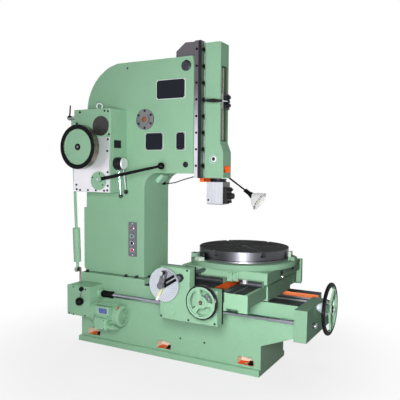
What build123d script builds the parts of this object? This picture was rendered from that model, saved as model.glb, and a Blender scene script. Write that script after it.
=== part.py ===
from build123d import *
import os
from math import cos, radians, sin, tan

os.makedirs("parts", exist_ok=True)

# Frame: X along the bed, Y away from the operator, Z up, origin on the floor between the foundation holes.
# Boxes are written x0, x1, y0, y1, z0, z1 and all lengths are in millimetres.

# Clearances
RUN = 0.05
GAP = 0.2

# Base and bed
BASE_X0 = -758
BASE_X1 = 764
BASE_HALF = 217
FLANGE = (-768, 764, -242, 242, 0, 41)
FLANGE_CHAMFER = 6
LEDGE_TOP = 541
LEDGE_X1 = -160
BED_TOP = 505
BED_X1 = 1038
NOSE_LOW = 201
NOSE_HIGH = 308
TROUGH = (-140, 1040, 14, 150, 330, 507)
POCKET_XS = (-632, 12, 656)
POCKET_WIDTH = 118
POCKET_Z0 = 56
POCKET_Z1 = 112
POCKET_DEPTH = 75
POCKET_ROUND = 26
ANCHOR_XS = (-644, 0, 644)
ANCHOR_Y = 187
ANCHOR_R = 12.5

# Column and head
COLUMN_HALF = 166
COLUMN_FRONT = -198
COLUMN_SHOULDER = (-735, 1828)
CROWN_MID = (-641, 2035)
CROWN_END = (-437, 2142)
HEAD_TOP = 2142
HEAD_FRONT = 215
HEAD_RELIEF = (205, 2080)
HEAD_UNDER = 1325
ARCH_END = (-103, 1325)
ARCH_MID = (-166, 1289)
ARCH_START_Z = 1207
FORK_HALF = 108
FORK_X0 = -80
FORK_ROOF = 2100
FORK_MOUTH_X0 = 10
REAR_COVER_Z = (560, 1048)
REAR_COVER_X0 = -780
REAR_COVER_HALF = 164

# Guide pivot
PIVOT_X = 156
PIVOT_Z = 2078
PIVOT_R = 32
PIVOT_HEAD_R = 38
PIVOT_HEAD = 6

# Crank shaft flange on the column
CRANK_X = -188
CRANK_Z = 1716
CRANK_FLANGE_R = 76
CRANK_FLANGE = 12
CRANK_BOSS_R = 40
CRANK_BOSS = 7

# Push-button plate
BUTTON_PLATE = (-338, -263, -172, -166, 694, 956)
BUTTON_PLATE_ROUND = 10
BUTTON_X = -300
LENS_Z = 912
BUTTON_ZS = (850, 797, 745)
BEZEL_R = 16
BEZEL = 6
CAP_R = 10.5
CAP_Y = (-186, -169)
CAP_HOLE_GAP = 0.4
BUTTON_WELL = 12
LENS_R = 14
LENS_RISE = 9

# Gearbox
GEARBOX = (-700, -360, -361, -166, 1180, 1788)
GEARBOX_ROUND = 8
GEARBOX_SEAM_Y = (-313, -310)
GEARBOX_SEAM = 2
LEFT_PLATE = (-699, -545, -369, -361, 1182, 1582)
RIGHT_PLATE = (-543, -361, -373, -361, 1182, 1582)
UPPER_COVER_X = -443
UPPER_COVER_Z = 1663
UPPER_COVER_R = 71
UPPER_COVER = 10
LEVER_COVER_X = -456
LEVER_COVER_Z = 1266
LEVER_COVER_R = 67
LEVER_COVER = 10

# Flywheel
WHEEL_X = -556
WHEEL_Z = 1508
WHEEL_R = 159
WHEEL_BORE_R = 127
WHEEL_RIM_Y = (-490, -440)
WHEEL_WEB_Y = (-482, -448)
WHEEL_HUB_R = 24
WHEEL_HUB_Y = (-486, -430)
WHEEL_SHAFT_R = 18
WHEEL_SHAFT_END = -320

# Clutch lever
CLUTCH_X = -428
CLUTCH_Z = 1277
CLUTCH_HUB_R = 19
CLUTCH_HUB_Y = (-416, -384)
CLUTCH_STUD_R = 10
CLUTCH_STUD_END = -320
CLUTCH_BALL = (100, -400, 1376)
CLUTCH_BALL_R = 24
CLUTCH_ROD_R = (13, 9)

# Speed levers on one stud
SPEED_Y = -288
SPEED_Z = 1392
SPEED_STUD_R = 15
SPEED_STUD_X = (-362, -292)
SPEED_INNER_X = (-359.7, -327)
SPEED_OUTER_X = (-326.7, -294)
SPEED_INNER_R = 46
SPEED_OUTER_R = 42
SPEED_CAP_R = 37
SPEED_CAP_X = (-294, -284)
SPEED_ROD_R = (7.5, 5.5)
SPEED_INNER_BALL = (-343, -260, 1155)
SPEED_OUTER_BALL = (-306, -245, 1185)
SPEED_BALL_R = 16

# Feed control rod with its hand lever
HAND_X = -735
HAND_Z = 1713
HAND_LUG = (-735, -699, -292, -270)
HAND_LUG_HALF = 14
HAND_STUD_R = 7
HAND_STUD_Y0 = -330
HAND_EYE_R = 14
HAND_EYE_Y = (-318, -292.3)
HAND_BALL = (-775, -325, 1735)
HAND_BALL_R = 19
HAND_TIP = (-767, -325, 1826)
HAND_ROD_R = (6, 5)
HAND_ARM_Y = (-318, -306)
HAND_ARM_WIDTH = 18
HAND_PIN_R = 5
HAND_PIN_Y = (-325, -286)
ROD_TOP = (-775, -293, 1722)
ROD_FOOT = (-730, -293, 576)
ROD_R = 11
ROD_EYE = (-797, -753, -304, -290, 1720, 1750)
ROD_SLOT = (-789, -761, -305, -289, 1728.4, 1741.6)
SLEEVE_R = 28
SLEEVE_SHARE = (0.72, 0.948)
ROD_CLEVIS_R = 18
ROD_CLEVIS_Y = (-312, -274)
PLUNGER_X = -704
PLUNGER_Y = -293
PLUNGER_R = 8
PLUNGER_Z = (430, 592)
PLUNGER_WELL = 405
LINK_R = 9

# Feed box on the base
FEED_BOX = (-762, -545, -365, -217, 243, 470)
FEED_BOX_COVER = (-762, -545, -375, -365, 243, 470)
FEED_BOX_ROUND = 8
SELECTOR_X = -614
SELECTOR_Z = 452
SELECTOR_HUB_R = 16
SELECTOR_HUB_Y = (-394, -375.3)
SELECTOR_STUD_R = 8
SELECTOR_STUD_END = -330
SELECTOR_BALL = (-610, -411, 364)
SELECTOR_BALL_R = 31
SELECTOR_ROD_R = 5

# Feed shaft
SHAFT_Y = -255
SHAFT_Z = 404
SHAFT_R = 15
SHAFT_X = (-535, 1124)
SHAFT_BOSS_R = 36
SHAFT_BOSS_X1 = -516
SHAFT_CAP_R = 18
SHAFT_CAP_X = (1119.4, 1146)
SHAFT_CAP_ROUND = 9
KEYWAY = (-400, 1030, 6, 4)
COUPLING_X = (-515.7, -418)
COUPLING_R = 25

# Rapid-traverse motor
MOTOR_Y = -312
MOTOR_Z = 275
MOTOR_X = (-500, -322)
MOTOR_R = 74
MOTOR_FLANGE_R = 80
MOTOR_FLANGE_X = (-522, -500)
MOTOR_SPIGOT_R = 70
FIN_COUNT = 20
FIN_HEIGHT = 9
FIN_WIDTH = 5
FIN_X = (-496, -330)
FAN_X = (-322, -275)
FAN_R = 80
FAN_ROUND = 14
MOTOR_PANEL = (-475, -336, -408, -368, 292, 352)
TERMINAL = (-478, -364, -418, -330, 181, 268)
TERMINAL_NECK = (-470, -364, -398, -368, 267, 293)
TERMINAL_ROUND = 10
CONDUIT_Y = -392
CONDUIT_Z = 204
CONDUIT_R = (18, 13)
CONDUIT_X = (-365, -318, -276)

# End bracket, longitudinal wheel and screw
BRACKET_X = (1038, 1119)
BRACKET_OUTLINE = ((-379, 323), (217, 323), (217, 450), (8, 516), (-366, 516))
LONG_Y = -165
LONG_Z = 497
LONG_SHAFT_R = 12.5
LONG_SHAFT_X = (1060, 1222)
LONG_RIM_R = (137, 163)
LONG_RIM_X = (1190, 1208)
LONG_RIM_ROUND = 7
LONG_HUB_R = 27
LONG_HUB_X = (1180, 1216)
LONG_SPOKE_X = (1193, 1205)
LONG_SPOKE_WIDTH = 38
LONG_SPOKE_ANGLE = 45
DIAL_X = (1119.4, 1128, 1140, 1163, 1166, 1180)
DIAL_R = (16, 23, 28, 40, 34, 48)
SCREW_Y = 55
SCREW_Z = 440
SCREW_R = 16
SCREW_X = (-110, 1085)

# Saddle
LEFT_WAY_X = (251, 520)
RIGHT_WAY_X = (635, 796)
ARM_HALF = 517
ARM_UNDER = 522
ARM_LIP = (485, 490)
SADDLE_TOP = 603
SADDLE_X = (238, 808)
VALLEY_FLOOR = 540
VALLEY_WALL = 460
TONGUE = (300, 750, 16, 148, 478)
NUT_X = (480, 570)
NUT_Z0 = 408
ARM_NOTCH = (651, 734, -518, -484, 489, 508)

# Apron
APRON_OUTLINE = ((232, 410), (638, 410), (638, 630), (446, 630), (446, 745), (232, 745))
APRON_Y = (-610, -525)
APRON_ROUND = 8
APRON_PAD = (262, 626, -525, -517, 518, 592)
APRON_COVER_X = 304
APRON_COVER_Z = 470
APRON_COVER_R = 45
APRON_COVER = 5

# Index plate and crank
INDEX_X = 282
INDEX_Z = 636
INDEX_R = 106
INDEX_Y = (-646, -632)
INDEX_NECK_R = 62
INDEX_SHAFT_R = 12
INDEX_SHAFT_Y = (-694, -555)
INDEX_SHAFT_WELL = -550
CRANK_ANGLE = 72
CRANK_ARM_Y = (-688, -674)
CRANK_ARM_RUN = 86
CRANK_ARM_WIDTH = 36
CRANK_SLOT_AT = 60
CRANK_SLOT = (30, 13)
CRANK_HUB_R = 21
CRANK_HUB_Y = (-692, -668)
CRANK_KNOB_AT = 91
CRANK_KNOB_R = 13
CRANK_KNOB_Y = (-724, -688)
CRANK_PLUNGER_R = 5
CRANK_PLUNGER_END = -658
SECTOR_Y = (-656, -648)
SECTOR_R = 24
SECTOR_LONG = (112, 16, 246)
SECTOR_BARS = (100, 17, 32)
SECTOR_BAR_OFFSET = 13

# Table drive shaft
DRIVE_X = 380
DRIVE_Z = 684
DRIVE_R = 14
DRIVE_Y = (-614, 110)
DRIVE_KNOB_R = 26
DRIVE_KNOB_Y = (-629, -610.4)

# Cross handwheel and screw
CROSS_X = 577
CROSS_Z = 572
CROSS_WHEEL_Y = -690
CROSS_RIM_R = (82, 104)
CROSS_RIM_Y = (-704, -676)
CROSS_RIM_ROUND = 8
CROSS_WEB_Y = (-697, -683)
CROSS_WINDOW_R = (36, 77)
CROSS_WINDOW_ROUND = 8
CROSS_SPOKE_WIDTH = 26
CROSS_SPOKE_ANGLE = 110
CROSS_HUB_R = 25
CROSS_HUB_Y = (-704, -668)
CROSS_GRIP_AT = 94
CROSS_GRIP_ANGLE = 217
CROSS_GRIP_R = 11
CROSS_GRIP_Y = (-676, -628)
CROSS_SCREW_R = 15
CROSS_SCREW_Y = (-702, 490)
CROSS_DIAL_R = 36
CROSS_DIAL_Y = (-668, -610.4)

# Cross slide
CROSS_SLIDE = (211, 835, -300, 368, 641, 704)
CROSS_SLIDE_CHAMFER = 14
SKIRT = 24
SKIRT_Z0 = 628
REAR_LIP = (811, 848, 342, 368, 536)
GIB_Z0 = 603.2
GIB_INSET = 5
GIB_Y = (-285, 353)
CROSS_NUT = (549, 605, -6, 74, 546, 642)
STOP_LUG = (575, 625, -316, -299, 646, 674)

# Round table
TABLE_X = 523
TABLE_Y = 34
RING_R = 375
RING_Z = (704, 740)
RING_BORE_R = 60
CLAMP_ANGLES = (5, 108, 210)
CLAMP_R = (327, 373)
CLAMP_WIDTH = 52
CLAMP_TOP = 766
TABLE_R = 315
TABLE_Z = (745, 815)
TABLE_LIP_R = 322
TABLE_LIP_Z = (741, 750)
TABLE_BORE_R = 30
SLOT_COUNT = 6
SLOT_ANGLE = 258
SLOT_WIDTH = 22
SLOT_NECK = 20
SLOT_FOOT_WIDTH = 38
SLOT_FOOT = 16
SLOT_R0 = 75

# Ram guide
GUIDE_Z = (1294, 2242)
GUIDE_BACK_X = 195
GUIDE_FACE_X = 230
GUIDE_BACK_HALF = 104
GUIDE_SHOULDER_X = 221
CHEEK_X1 = 250
CHEEK_Y = (140, 166)
TAIL = ((46, 1990), (196, 1990), (196, 2242), (118, 2242), (46, 2204))
KEEPER_X = (250, 270)
KEEPER_Y = (100, 166)

# Ram
RAM_Z = (1294, 2245)
RAM_X1 = 372
RAM_HALF = 63
RAM_FOOT = ((240, 1294), (398, 1294), (398, 1478), (372, 1543), (240, 1543))
RAM_SLOT = (362, 373, -42, 42, 1554, 2079)
RAM_SLOT_DEEP = (340, 363, -13, 13, 1562, 2071)
RAM_POCKET = (288, 366, -46, 46, 1293, 1474)
RAM_WINDOW = (365, 399, -46, 46, 1334, 1382)
RELIEF_X = 327
RELIEF_Z = 1429
RELIEF_R = 13
RELIEF_BOSS_R = 37
RELIEF_BOSS = 7
RELIEF_OUT = 73
STOP_BLOCK = (231, 262, -97, 97, 1266, 1294)
CLAMP_PLATE = (372, 388, -50, 50, 1780, 1889)
CLAMP_NUT_ZS = (1862, 1806)
CLAMP_NUT_R = 16
CLAMP_NUT_X1 = 410
CLAMP_LEVER_Z = 1834
CLAMP_STUD_R = 7
CLAMP_STUD_X1 = 408
CLAMP_HUB_R = 11.5
CLAMP_HUB_X = (388.3, 412)
CLAMP_NECK = ((401, -8, 1834), (398, -100, 1829))
CLAMP_NECK_R = 6
CLAMP_GRIP_END = (335, -209, 1822)
CLAMP_GRIP_R = (8, 13.5, 9)

# Tool head
STEM = (309, 345, -28, 28, 1288, 1456)
SWIVEL_X = 331
SWIVEL_R = 60
SWIVEL_Z = (1266, 1273, 1282, 1289)
SWIVEL_GROOVE_R = 56
TOOL_HEAD = (267, 395, -58, 58, 1106, 1266)
TOOL_HEAD_CHAMFER = 6
TOOL_HOLE = (331, 373, -21, 21, 1105, 1240)
TOOL_CLAMP = (395, 417, -44, 44, 1116, 1230)
TOOL_CLAMP_ROUND = 8
TOOL_BOLT_ZS = (1213, 1168, 1127)
TOOL_BOLT_RS = (11, 21, 8)
TOOL_BOLT_X1S = (440, 450, 430)

# Lamp
LAMP_X = 195
LAMP_Y = 183
LAMP_Z = 1383
LAMP_PLATE = (165, 213, 166, 174, 1350, 1414)
LAMP_STUD_R = 8
LAMP_STUD_Y1 = 196
LAMP_EYE_R = 17
LAMP_EYE_Y = (174.3, 192)
LAMP_ROD_R = 7
LAMP_TIP_X = 468
LAMP_TIP_Z = 1199
LAMP_TIP_R = 12
LAMP_TIP_HALF = 6
LAMP_PIN_R = 5
LAMP_PIN_HALF = 15
FORK_PLATE_Y = (6.3, 14)
FORK_PLATE_WIDTH = 24
FORK_PLATE_Z = (-12, 34)
SOCKET_R = (15, 25)
SOCKET_Z = (26, 64)
SHADE_R = (26, 48, 72)
SHADE_Z = (64, 90, 132)
SHADE_WALL = 2.5

# Lamp cable
CABLE_R = 4
CABLE_POINTS = (
    (-178, 80, 1243),
    (-100, 80, 1243),
    (-10, 82, 1276),
    (88, 89, 1300),
    (150, 96, 1340),
    (150, 96, 1400),
)
CABLE_FILL = 0.45
GLAND_R = 11
GLAND_X = (-214, -170)
GLAND_BORE_R = 4.3
GLAND_BORE_X0 = -182
CLIP = (139, 161, 84, 108, 1394, 1426)
CLIP_BORE_Z1 = 1404


def front(y):
    return Plane.XZ.offset(-y)


def side(x):
    return Plane.YZ.offset(x)


def block(x0, x1, y0, y1, z0, z1, mode=Mode.ADD):
    with Locations(((x0 + x1) / 2, (y0 + y1) / 2, (z0 + z1) / 2)):
        Box(x1 - x0, y1 - y0, z1 - z0, mode=mode)


def drum_x(y, z, r, x0, x1, mode=Mode.ADD):
    with Locations(Location(((x0 + x1) / 2, y, z), (0, 90, 0))):
        Cylinder(r, x1 - x0, mode=mode)


def drum_y(x, z, r, y0, y1, mode=Mode.ADD):
    with Locations(Location((x, (y0 + y1) / 2, z), (90, 0, 0))):
        Cylinder(r, y1 - y0, mode=mode)


def drum_z(x, y, r, z0, z1, mode=Mode.ADD):
    with Locations((x, y, (z0 + z1) / 2)):
        Cylinder(r, z1 - z0, mode=mode)


def ball(centre, r):
    with Locations(centre):
        Sphere(r)


def rod(start, end, r0, r1):
    run = Vector(*end) - Vector(*start)
    with Locations(Plane(origin=start, z_dir=run)):
        if r0 == r1:
            Cylinder(r0, run.length, align=(Align.CENTER, Align.CENTER, Align.MIN))
        else:
            Cone(r0, r1, run.length, align=(Align.CENTER, Align.CENTER, Align.MIN))


def slab_y(points, y0, y1, mode=Mode.ADD):
    with BuildSketch(front(y1)) as outline:
        with BuildLine():
            Polyline(*points, close=True)
        make_face()
    extrude(outline.sketch, amount=y1 - y0, mode=mode)


def slab_x(points, x0, x1, mode=Mode.ADD):
    with BuildSketch(side(x0)) as outline:
        with BuildLine():
            Polyline(*points, close=True)
        make_face()
    extrude(outline.sketch, amount=x1 - x0, mode=mode)


def keep(builder, name):
    builder.part.label = name
    export_step(builder.part, f"parts/{name}.step")


def column_back(z):
    run = (COLUMN_SHOULDER[0] - BASE_X0) / (COLUMN_SHOULDER[1] - LEDGE_TOP)
    return BASE_X0 + run * (z - LEDGE_TOP)


# Base and bed casting
with BuildPart() as base_bed:
    block(*FLANGE)
    chamfer(base_bed.faces().sort_by(Axis.Z)[-1].edges(), FLANGE_CHAMFER)
    slab_y(
        (
            (BASE_X0, 0),
            (BASE_X1, 0),
            (BASE_X1, NOSE_LOW),
            (BED_X1, NOSE_HIGH),
            (BED_X1, BED_TOP),
            (LEDGE_X1, BED_TOP),
            (LEDGE_X1, LEDGE_TOP),
            (BASE_X0, LEDGE_TOP),
        ),
        -BASE_HALF,
        BASE_HALF,
    )
    block(*TROUGH, mode=Mode.SUBTRACT)
    with BuildSketch(front(BASE_HALF)) as pockets:
        with Locations(*[(x, (POCKET_Z0 + POCKET_Z1) / 2) for x in POCKET_XS]):
            Rectangle(POCKET_WIDTH, POCKET_Z1 - POCKET_Z0)
        fillet(pockets.vertices().group_by(Axis.Y)[-1], POCKET_ROUND)
    extrude(pockets.sketch, amount=POCKET_DEPTH, mode=Mode.SUBTRACT)
    with BuildSketch(front(POCKET_DEPTH - BASE_HALF)) as near_pockets:
        with Locations(*[(x, (POCKET_Z0 + POCKET_Z1) / 2) for x in POCKET_XS]):
            Rectangle(POCKET_WIDTH, POCKET_Z1 - POCKET_Z0)
        fillet(near_pockets.vertices().group_by(Axis.Y)[-1], POCKET_ROUND)
    extrude(near_pockets.sketch, amount=POCKET_DEPTH, mode=Mode.SUBTRACT)
    for anchor_x in ANCHOR_XS:
        for anchor_y in (-ANCHOR_Y, ANCHOR_Y):
            drum_z(anchor_x, anchor_y, ANCHOR_R, -1, POCKET_Z0 + 1, mode=Mode.SUBTRACT)
keep(base_bed, "base_bed")

# Column and head casting
with BuildPart() as column:
    with BuildSketch(Plane.XZ) as outline:
        with BuildLine():
            Polyline(
                (COLUMN_FRONT, ARCH_START_Z),
                (COLUMN_FRONT, LEDGE_TOP),
                (BASE_X0, LEDGE_TOP),
                COLUMN_SHOULDER,
            )
            ThreePointArc(COLUMN_SHOULDER, CROWN_MID, CROWN_END)
            Polyline(
                CROWN_END,
                (HEAD_RELIEF[0], HEAD_TOP),
                (HEAD_FRONT, HEAD_RELIEF[1]),
                (HEAD_FRONT, HEAD_UNDER),
                ARCH_END,
            )
            ThreePointArc(ARCH_END, ARCH_MID, (COLUMN_FRONT, ARCH_START_Z))
        make_face()
    extrude(outline.sketch, amount=COLUMN_HALF, both=True)
    past = HEAD_FRONT + 1
    block(FORK_X0, past, -FORK_HALF, FORK_HALF, HEAD_UNDER - 1, FORK_ROOF, mode=Mode.SUBTRACT)
    block(FORK_MOUTH_X0, past, -FORK_HALF, FORK_HALF, FORK_ROOF - 1, HEAD_TOP + 1, mode=Mode.SUBTRACT)
    drum_y(PIVOT_X, PIVOT_Z, PIVOT_R + RUN, -COLUMN_HALF - 1, COLUMN_HALF + 1, mode=Mode.SUBTRACT)
    for button_z in BUTTON_ZS:
        drum_y(
            BUTTON_X, button_z, CAP_R + 1, -COLUMN_HALF - 1, BUTTON_WELL - COLUMN_HALF, mode=Mode.SUBTRACT
        )
    drum_x(CABLE_POINTS[0][1], CABLE_POINTS[0][2], GLAND_R + RUN, GLAND_X[0], GLAND_X[1], mode=Mode.SUBTRACT)
keep(column, "column")

# Rear cover of the motor space
with BuildPart() as rear_cover:
    slab_y(
        (
            (REAR_COVER_X0, REAR_COVER_Z[0]),
            (column_back(REAR_COVER_Z[0]), REAR_COVER_Z[0]),
            (column_back(REAR_COVER_Z[1]), REAR_COVER_Z[1]),
            (REAR_COVER_X0, REAR_COVER_Z[1]),
        ),
        -REAR_COVER_HALF,
        REAR_COVER_HALF,
    )
    chamfer(rear_cover.faces().sort_by(Axis.X)[0].edges(), FLANGE_CHAMFER)
keep(rear_cover, "rear_cover")

# Pin on which the ram guide swivels
with BuildPart() as guide_pivot_pin:
    drum_y(PIVOT_X, PIVOT_Z, PIVOT_R, -COLUMN_HALF, COLUMN_HALF)
    drum_y(PIVOT_X, PIVOT_Z, PIVOT_HEAD_R, -COLUMN_HALF - PIVOT_HEAD, -COLUMN_HALF)
    drum_y(PIVOT_X, PIVOT_Z, PIVOT_HEAD_R, COLUMN_HALF, COLUMN_HALF + PIVOT_HEAD)
keep(guide_pivot_pin, "guide_pivot_pin")

# Crank shaft flange
with BuildPart() as crank_flange:
    drum_y(CRANK_X, CRANK_Z, CRANK_FLANGE_R, -COLUMN_HALF - CRANK_FLANGE, -COLUMN_HALF)
    drum_y(CRANK_X, CRANK_Z, CRANK_BOSS_R, -COLUMN_HALF - CRANK_FLANGE - CRANK_BOSS, -COLUMN_HALF)
keep(crank_flange, "crank_flange")

# Push-button plate with bezels, lamp lens and caps
with BuildPart() as button_plate:
    block(*BUTTON_PLATE)
    fillet(button_plate.edges().filter_by(Axis.Y), BUTTON_PLATE_ROUND)
    for button_z in BUTTON_ZS:
        drum_y(BUTTON_X, button_z, BEZEL_R, BUTTON_PLATE[2] - BEZEL, BUTTON_PLATE[2])
        drum_y(
            BUTTON_X,
            button_z,
            CAP_R + CAP_HOLE_GAP,
            BUTTON_PLATE[2] - BEZEL - 1,
            BUTTON_PLATE[3] + 1,
            mode=Mode.SUBTRACT,
        )
    drum_y(BUTTON_X, LENS_Z, BEZEL_R, BUTTON_PLATE[2] - BEZEL, BUTTON_PLATE[2])
keep(button_plate, "button_plate")

with BuildPart() as indicator_lens:
    drum_y(BUTTON_X, LENS_Z, LENS_R, BUTTON_PLATE[2] - BEZEL - LENS_RISE, BUTTON_PLATE[2] - BEZEL)
    fillet(indicator_lens.faces().sort_by(Axis.Y)[0].edges(), LENS_RISE / 2)
keep(indicator_lens, "indicator_lens")

for button_name, button_z in zip(("button_green", "button_black", "button_red"), BUTTON_ZS):
    with BuildPart() as button:
        drum_y(BUTTON_X, button_z, CAP_R, *CAP_Y)
        fillet(button.faces().sort_by(Axis.Y)[0].edges(), 2)
    keep(button, button_name)

# Gearbox housing with the stud of the speed levers and the lug of the hand lever
with BuildPart() as gearbox_housing:
    block(GEARBOX[0], GEARBOX[1], GEARBOX[2], GEARBOX_SEAM_Y[0], GEARBOX[4], GEARBOX[5])
    fillet(gearbox_housing.edges().filter_by(Axis.Z).group_by(Axis.Y)[0], GEARBOX_ROUND)
    block(GEARBOX[0], GEARBOX[1], GEARBOX_SEAM_Y[1], GEARBOX[3], GEARBOX[4], GEARBOX[5])
    block(
        GEARBOX[0] + GEARBOX_SEAM,
        GEARBOX[1] - GEARBOX_SEAM,
        *GEARBOX_SEAM_Y,
        GEARBOX[4] + GEARBOX_SEAM,
        GEARBOX[5] - GEARBOX_SEAM,
    )
    drum_y(WHEEL_X, WHEEL_Z, WHEEL_SHAFT_R + RUN, GEARBOX[2] - 1, WHEEL_SHAFT_END + 1, mode=Mode.SUBTRACT)
    drum_y(CLUTCH_X, CLUTCH_Z, CLUTCH_STUD_R + RUN, GEARBOX[2] - 1, CLUTCH_STUD_END + 1, mode=Mode.SUBTRACT)
    drum_x(SPEED_Y, SPEED_Z, SPEED_STUD_R, *SPEED_STUD_X)
    block(*HAND_LUG, HAND_Z - HAND_LUG_HALF, HAND_Z + HAND_LUG_HALF)
    drum_y(HAND_X, HAND_Z, HAND_LUG_HALF, HAND_LUG[2], HAND_LUG[3])
    drum_y(HAND_X, HAND_Z, HAND_STUD_R, HAND_STUD_Y0, HAND_LUG[2])
keep(gearbox_housing, "gearbox_housing")

# Machined front plates and round covers of the gearbox
with BuildPart() as gearbox_front_plates:
    block(*LEFT_PLATE)
    block(*RIGHT_PLATE)
    drum_y(WHEEL_X, WHEEL_Z, WHEEL_SHAFT_R + 1, RIGHT_PLATE[2] - 1, RIGHT_PLATE[3] + 1, mode=Mode.SUBTRACT)
    drum_y(CLUTCH_X, CLUTCH_Z, CLUTCH_STUD_R + 1, RIGHT_PLATE[2] - 1, RIGHT_PLATE[3] + 1, mode=Mode.SUBTRACT)
keep(gearbox_front_plates, "gearbox_front_plates")

with BuildPart() as upper_round_cover:
    drum_y(UPPER_COVER_X, UPPER_COVER_Z, UPPER_COVER_R, GEARBOX[2] - UPPER_COVER, GEARBOX[2])
    fillet(upper_round_cover.faces().sort_by(Axis.Y)[0].edges(), 2)
keep(upper_round_cover, "upper_round_cover")

with BuildPart() as lever_cover:
    drum_y(LEVER_COVER_X, LEVER_COVER_Z, LEVER_COVER_R, RIGHT_PLATE[2] - LEVER_COVER, RIGHT_PLATE[2])
    fillet(lever_cover.faces().sort_by(Axis.Y)[0].edges(), 2)
    drum_y(
        CLUTCH_X,
        CLUTCH_Z,
        CLUTCH_STUD_R + RUN,
        RIGHT_PLATE[2] - LEVER_COVER - 1,
        RIGHT_PLATE[2] + 1,
        mode=Mode.SUBTRACT,
    )
keep(lever_cover, "lever_cover")

# Flywheel for turning the drive by hand
with BuildPart() as flywheel:
    drum_y(WHEEL_X, WHEEL_Z, WHEEL_R, *WHEEL_RIM_Y)
    drum_y(WHEEL_X, WHEEL_Z, WHEEL_BORE_R, WHEEL_RIM_Y[0] - 1, WHEEL_RIM_Y[1] + 1, mode=Mode.SUBTRACT)
    drum_y(WHEEL_X, WHEEL_Z, WHEEL_BORE_R + 1, *WHEEL_WEB_Y)
    drum_y(WHEEL_X, WHEEL_Z, WHEEL_HUB_R, *WHEEL_HUB_Y)
    drum_y(WHEEL_X, WHEEL_Z, WHEEL_SHAFT_R, WHEEL_HUB_Y[0], WHEEL_SHAFT_END)
keep(flywheel, "flywheel")

# Clutch lever
with BuildPart() as clutch_lever:
    drum_y(CLUTCH_X, CLUTCH_Z, CLUTCH_HUB_R, *CLUTCH_HUB_Y)
    drum_y(CLUTCH_X, CLUTCH_Z, CLUTCH_STUD_R, CLUTCH_HUB_Y[0], CLUTCH_STUD_END)
    rod((CLUTCH_X, CLUTCH_BALL[1], CLUTCH_Z), CLUTCH_BALL, *CLUTCH_ROD_R)
    ball(CLUTCH_BALL, CLUTCH_BALL_R)
keep(clutch_lever, "clutch_lever")

# Speed levers
with BuildPart() as speed_lever_inner:
    drum_x(SPEED_Y, SPEED_Z, SPEED_INNER_R, *SPEED_INNER_X)
    rod((SPEED_INNER_BALL[0], SPEED_Y, SPEED_Z), SPEED_INNER_BALL, *SPEED_ROD_R)
    ball(SPEED_INNER_BALL, SPEED_BALL_R)
    bore_x = (SPEED_INNER_X[0] - 1, SPEED_INNER_X[1] + 1)
    drum_x(SPEED_Y, SPEED_Z, SPEED_STUD_R + RUN, *bore_x, mode=Mode.SUBTRACT)
keep(speed_lever_inner, "speed_lever_inner")

with BuildPart() as speed_lever_outer:
    drum_x(SPEED_Y, SPEED_Z, SPEED_OUTER_R, *SPEED_OUTER_X)
    drum_x(SPEED_Y, SPEED_Z, SPEED_CAP_R, *SPEED_CAP_X)
    rod((SPEED_OUTER_BALL[0], SPEED_Y, SPEED_Z), SPEED_OUTER_BALL, *SPEED_ROD_R)
    ball(SPEED_OUTER_BALL, SPEED_BALL_R)
    bore_x = (SPEED_OUTER_X[0] - 1, SPEED_STUD_X[1] + 1)
    drum_x(SPEED_Y, SPEED_Z, SPEED_STUD_R + RUN, *bore_x, mode=Mode.SUBTRACT)
keep(speed_lever_outer, "speed_lever_outer")

# Feed control rod and its hand lever
with BuildPart() as feed_rod:
    rod_run = Vector(*ROD_FOOT) - Vector(*ROD_TOP)
    sleeve_ends = [Vector(*ROD_TOP) + rod_run * share for share in SLEEVE_SHARE]
    block(*ROD_EYE)
    block(*ROD_SLOT, mode=Mode.SUBTRACT)
    rod(ROD_TOP, ROD_FOOT, ROD_R, ROD_R)
    rod(tuple(sleeve_ends[0]), tuple(sleeve_ends[1]), SLEEVE_R, SLEEVE_R)
    drum_y(ROD_FOOT[0], ROD_FOOT[2], ROD_CLEVIS_R, *ROD_CLEVIS_Y)
    drum_x(PLUNGER_Y, ROD_FOOT[2], LINK_R, ROD_FOOT[0], PLUNGER_X)
    drum_z(PLUNGER_X, PLUNGER_Y, PLUNGER_R, *PLUNGER_Z)
keep(feed_rod, "feed_rod")

with BuildPart() as feed_hand_lever:
    drum_y(HAND_X, HAND_Z, HAND_EYE_R, *HAND_EYE_Y)
    with BuildSketch(front(HAND_ARM_Y[1])) as arm:
        with BuildLine():
            Line((HAND_X, HAND_Z), (HAND_BALL[0], HAND_BALL[2]))
        trace(line_width=HAND_ARM_WIDTH)
    extrude(arm.sketch, amount=HAND_ARM_Y[1] - HAND_ARM_Y[0])
    ball(HAND_BALL, HAND_BALL_R)
    rod(HAND_BALL, HAND_TIP, *HAND_ROD_R)
    ball(HAND_TIP, HAND_ROD_R[1])
    drum_y(HAND_BALL[0], HAND_BALL[2], HAND_PIN_R, *HAND_PIN_Y)
    drum_y(HAND_X, HAND_Z, HAND_STUD_R + RUN, HAND_STUD_Y0 - 1, HAND_LUG[2] + 1, mode=Mode.SUBTRACT)
keep(feed_hand_lever, "feed_hand_lever")

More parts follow.
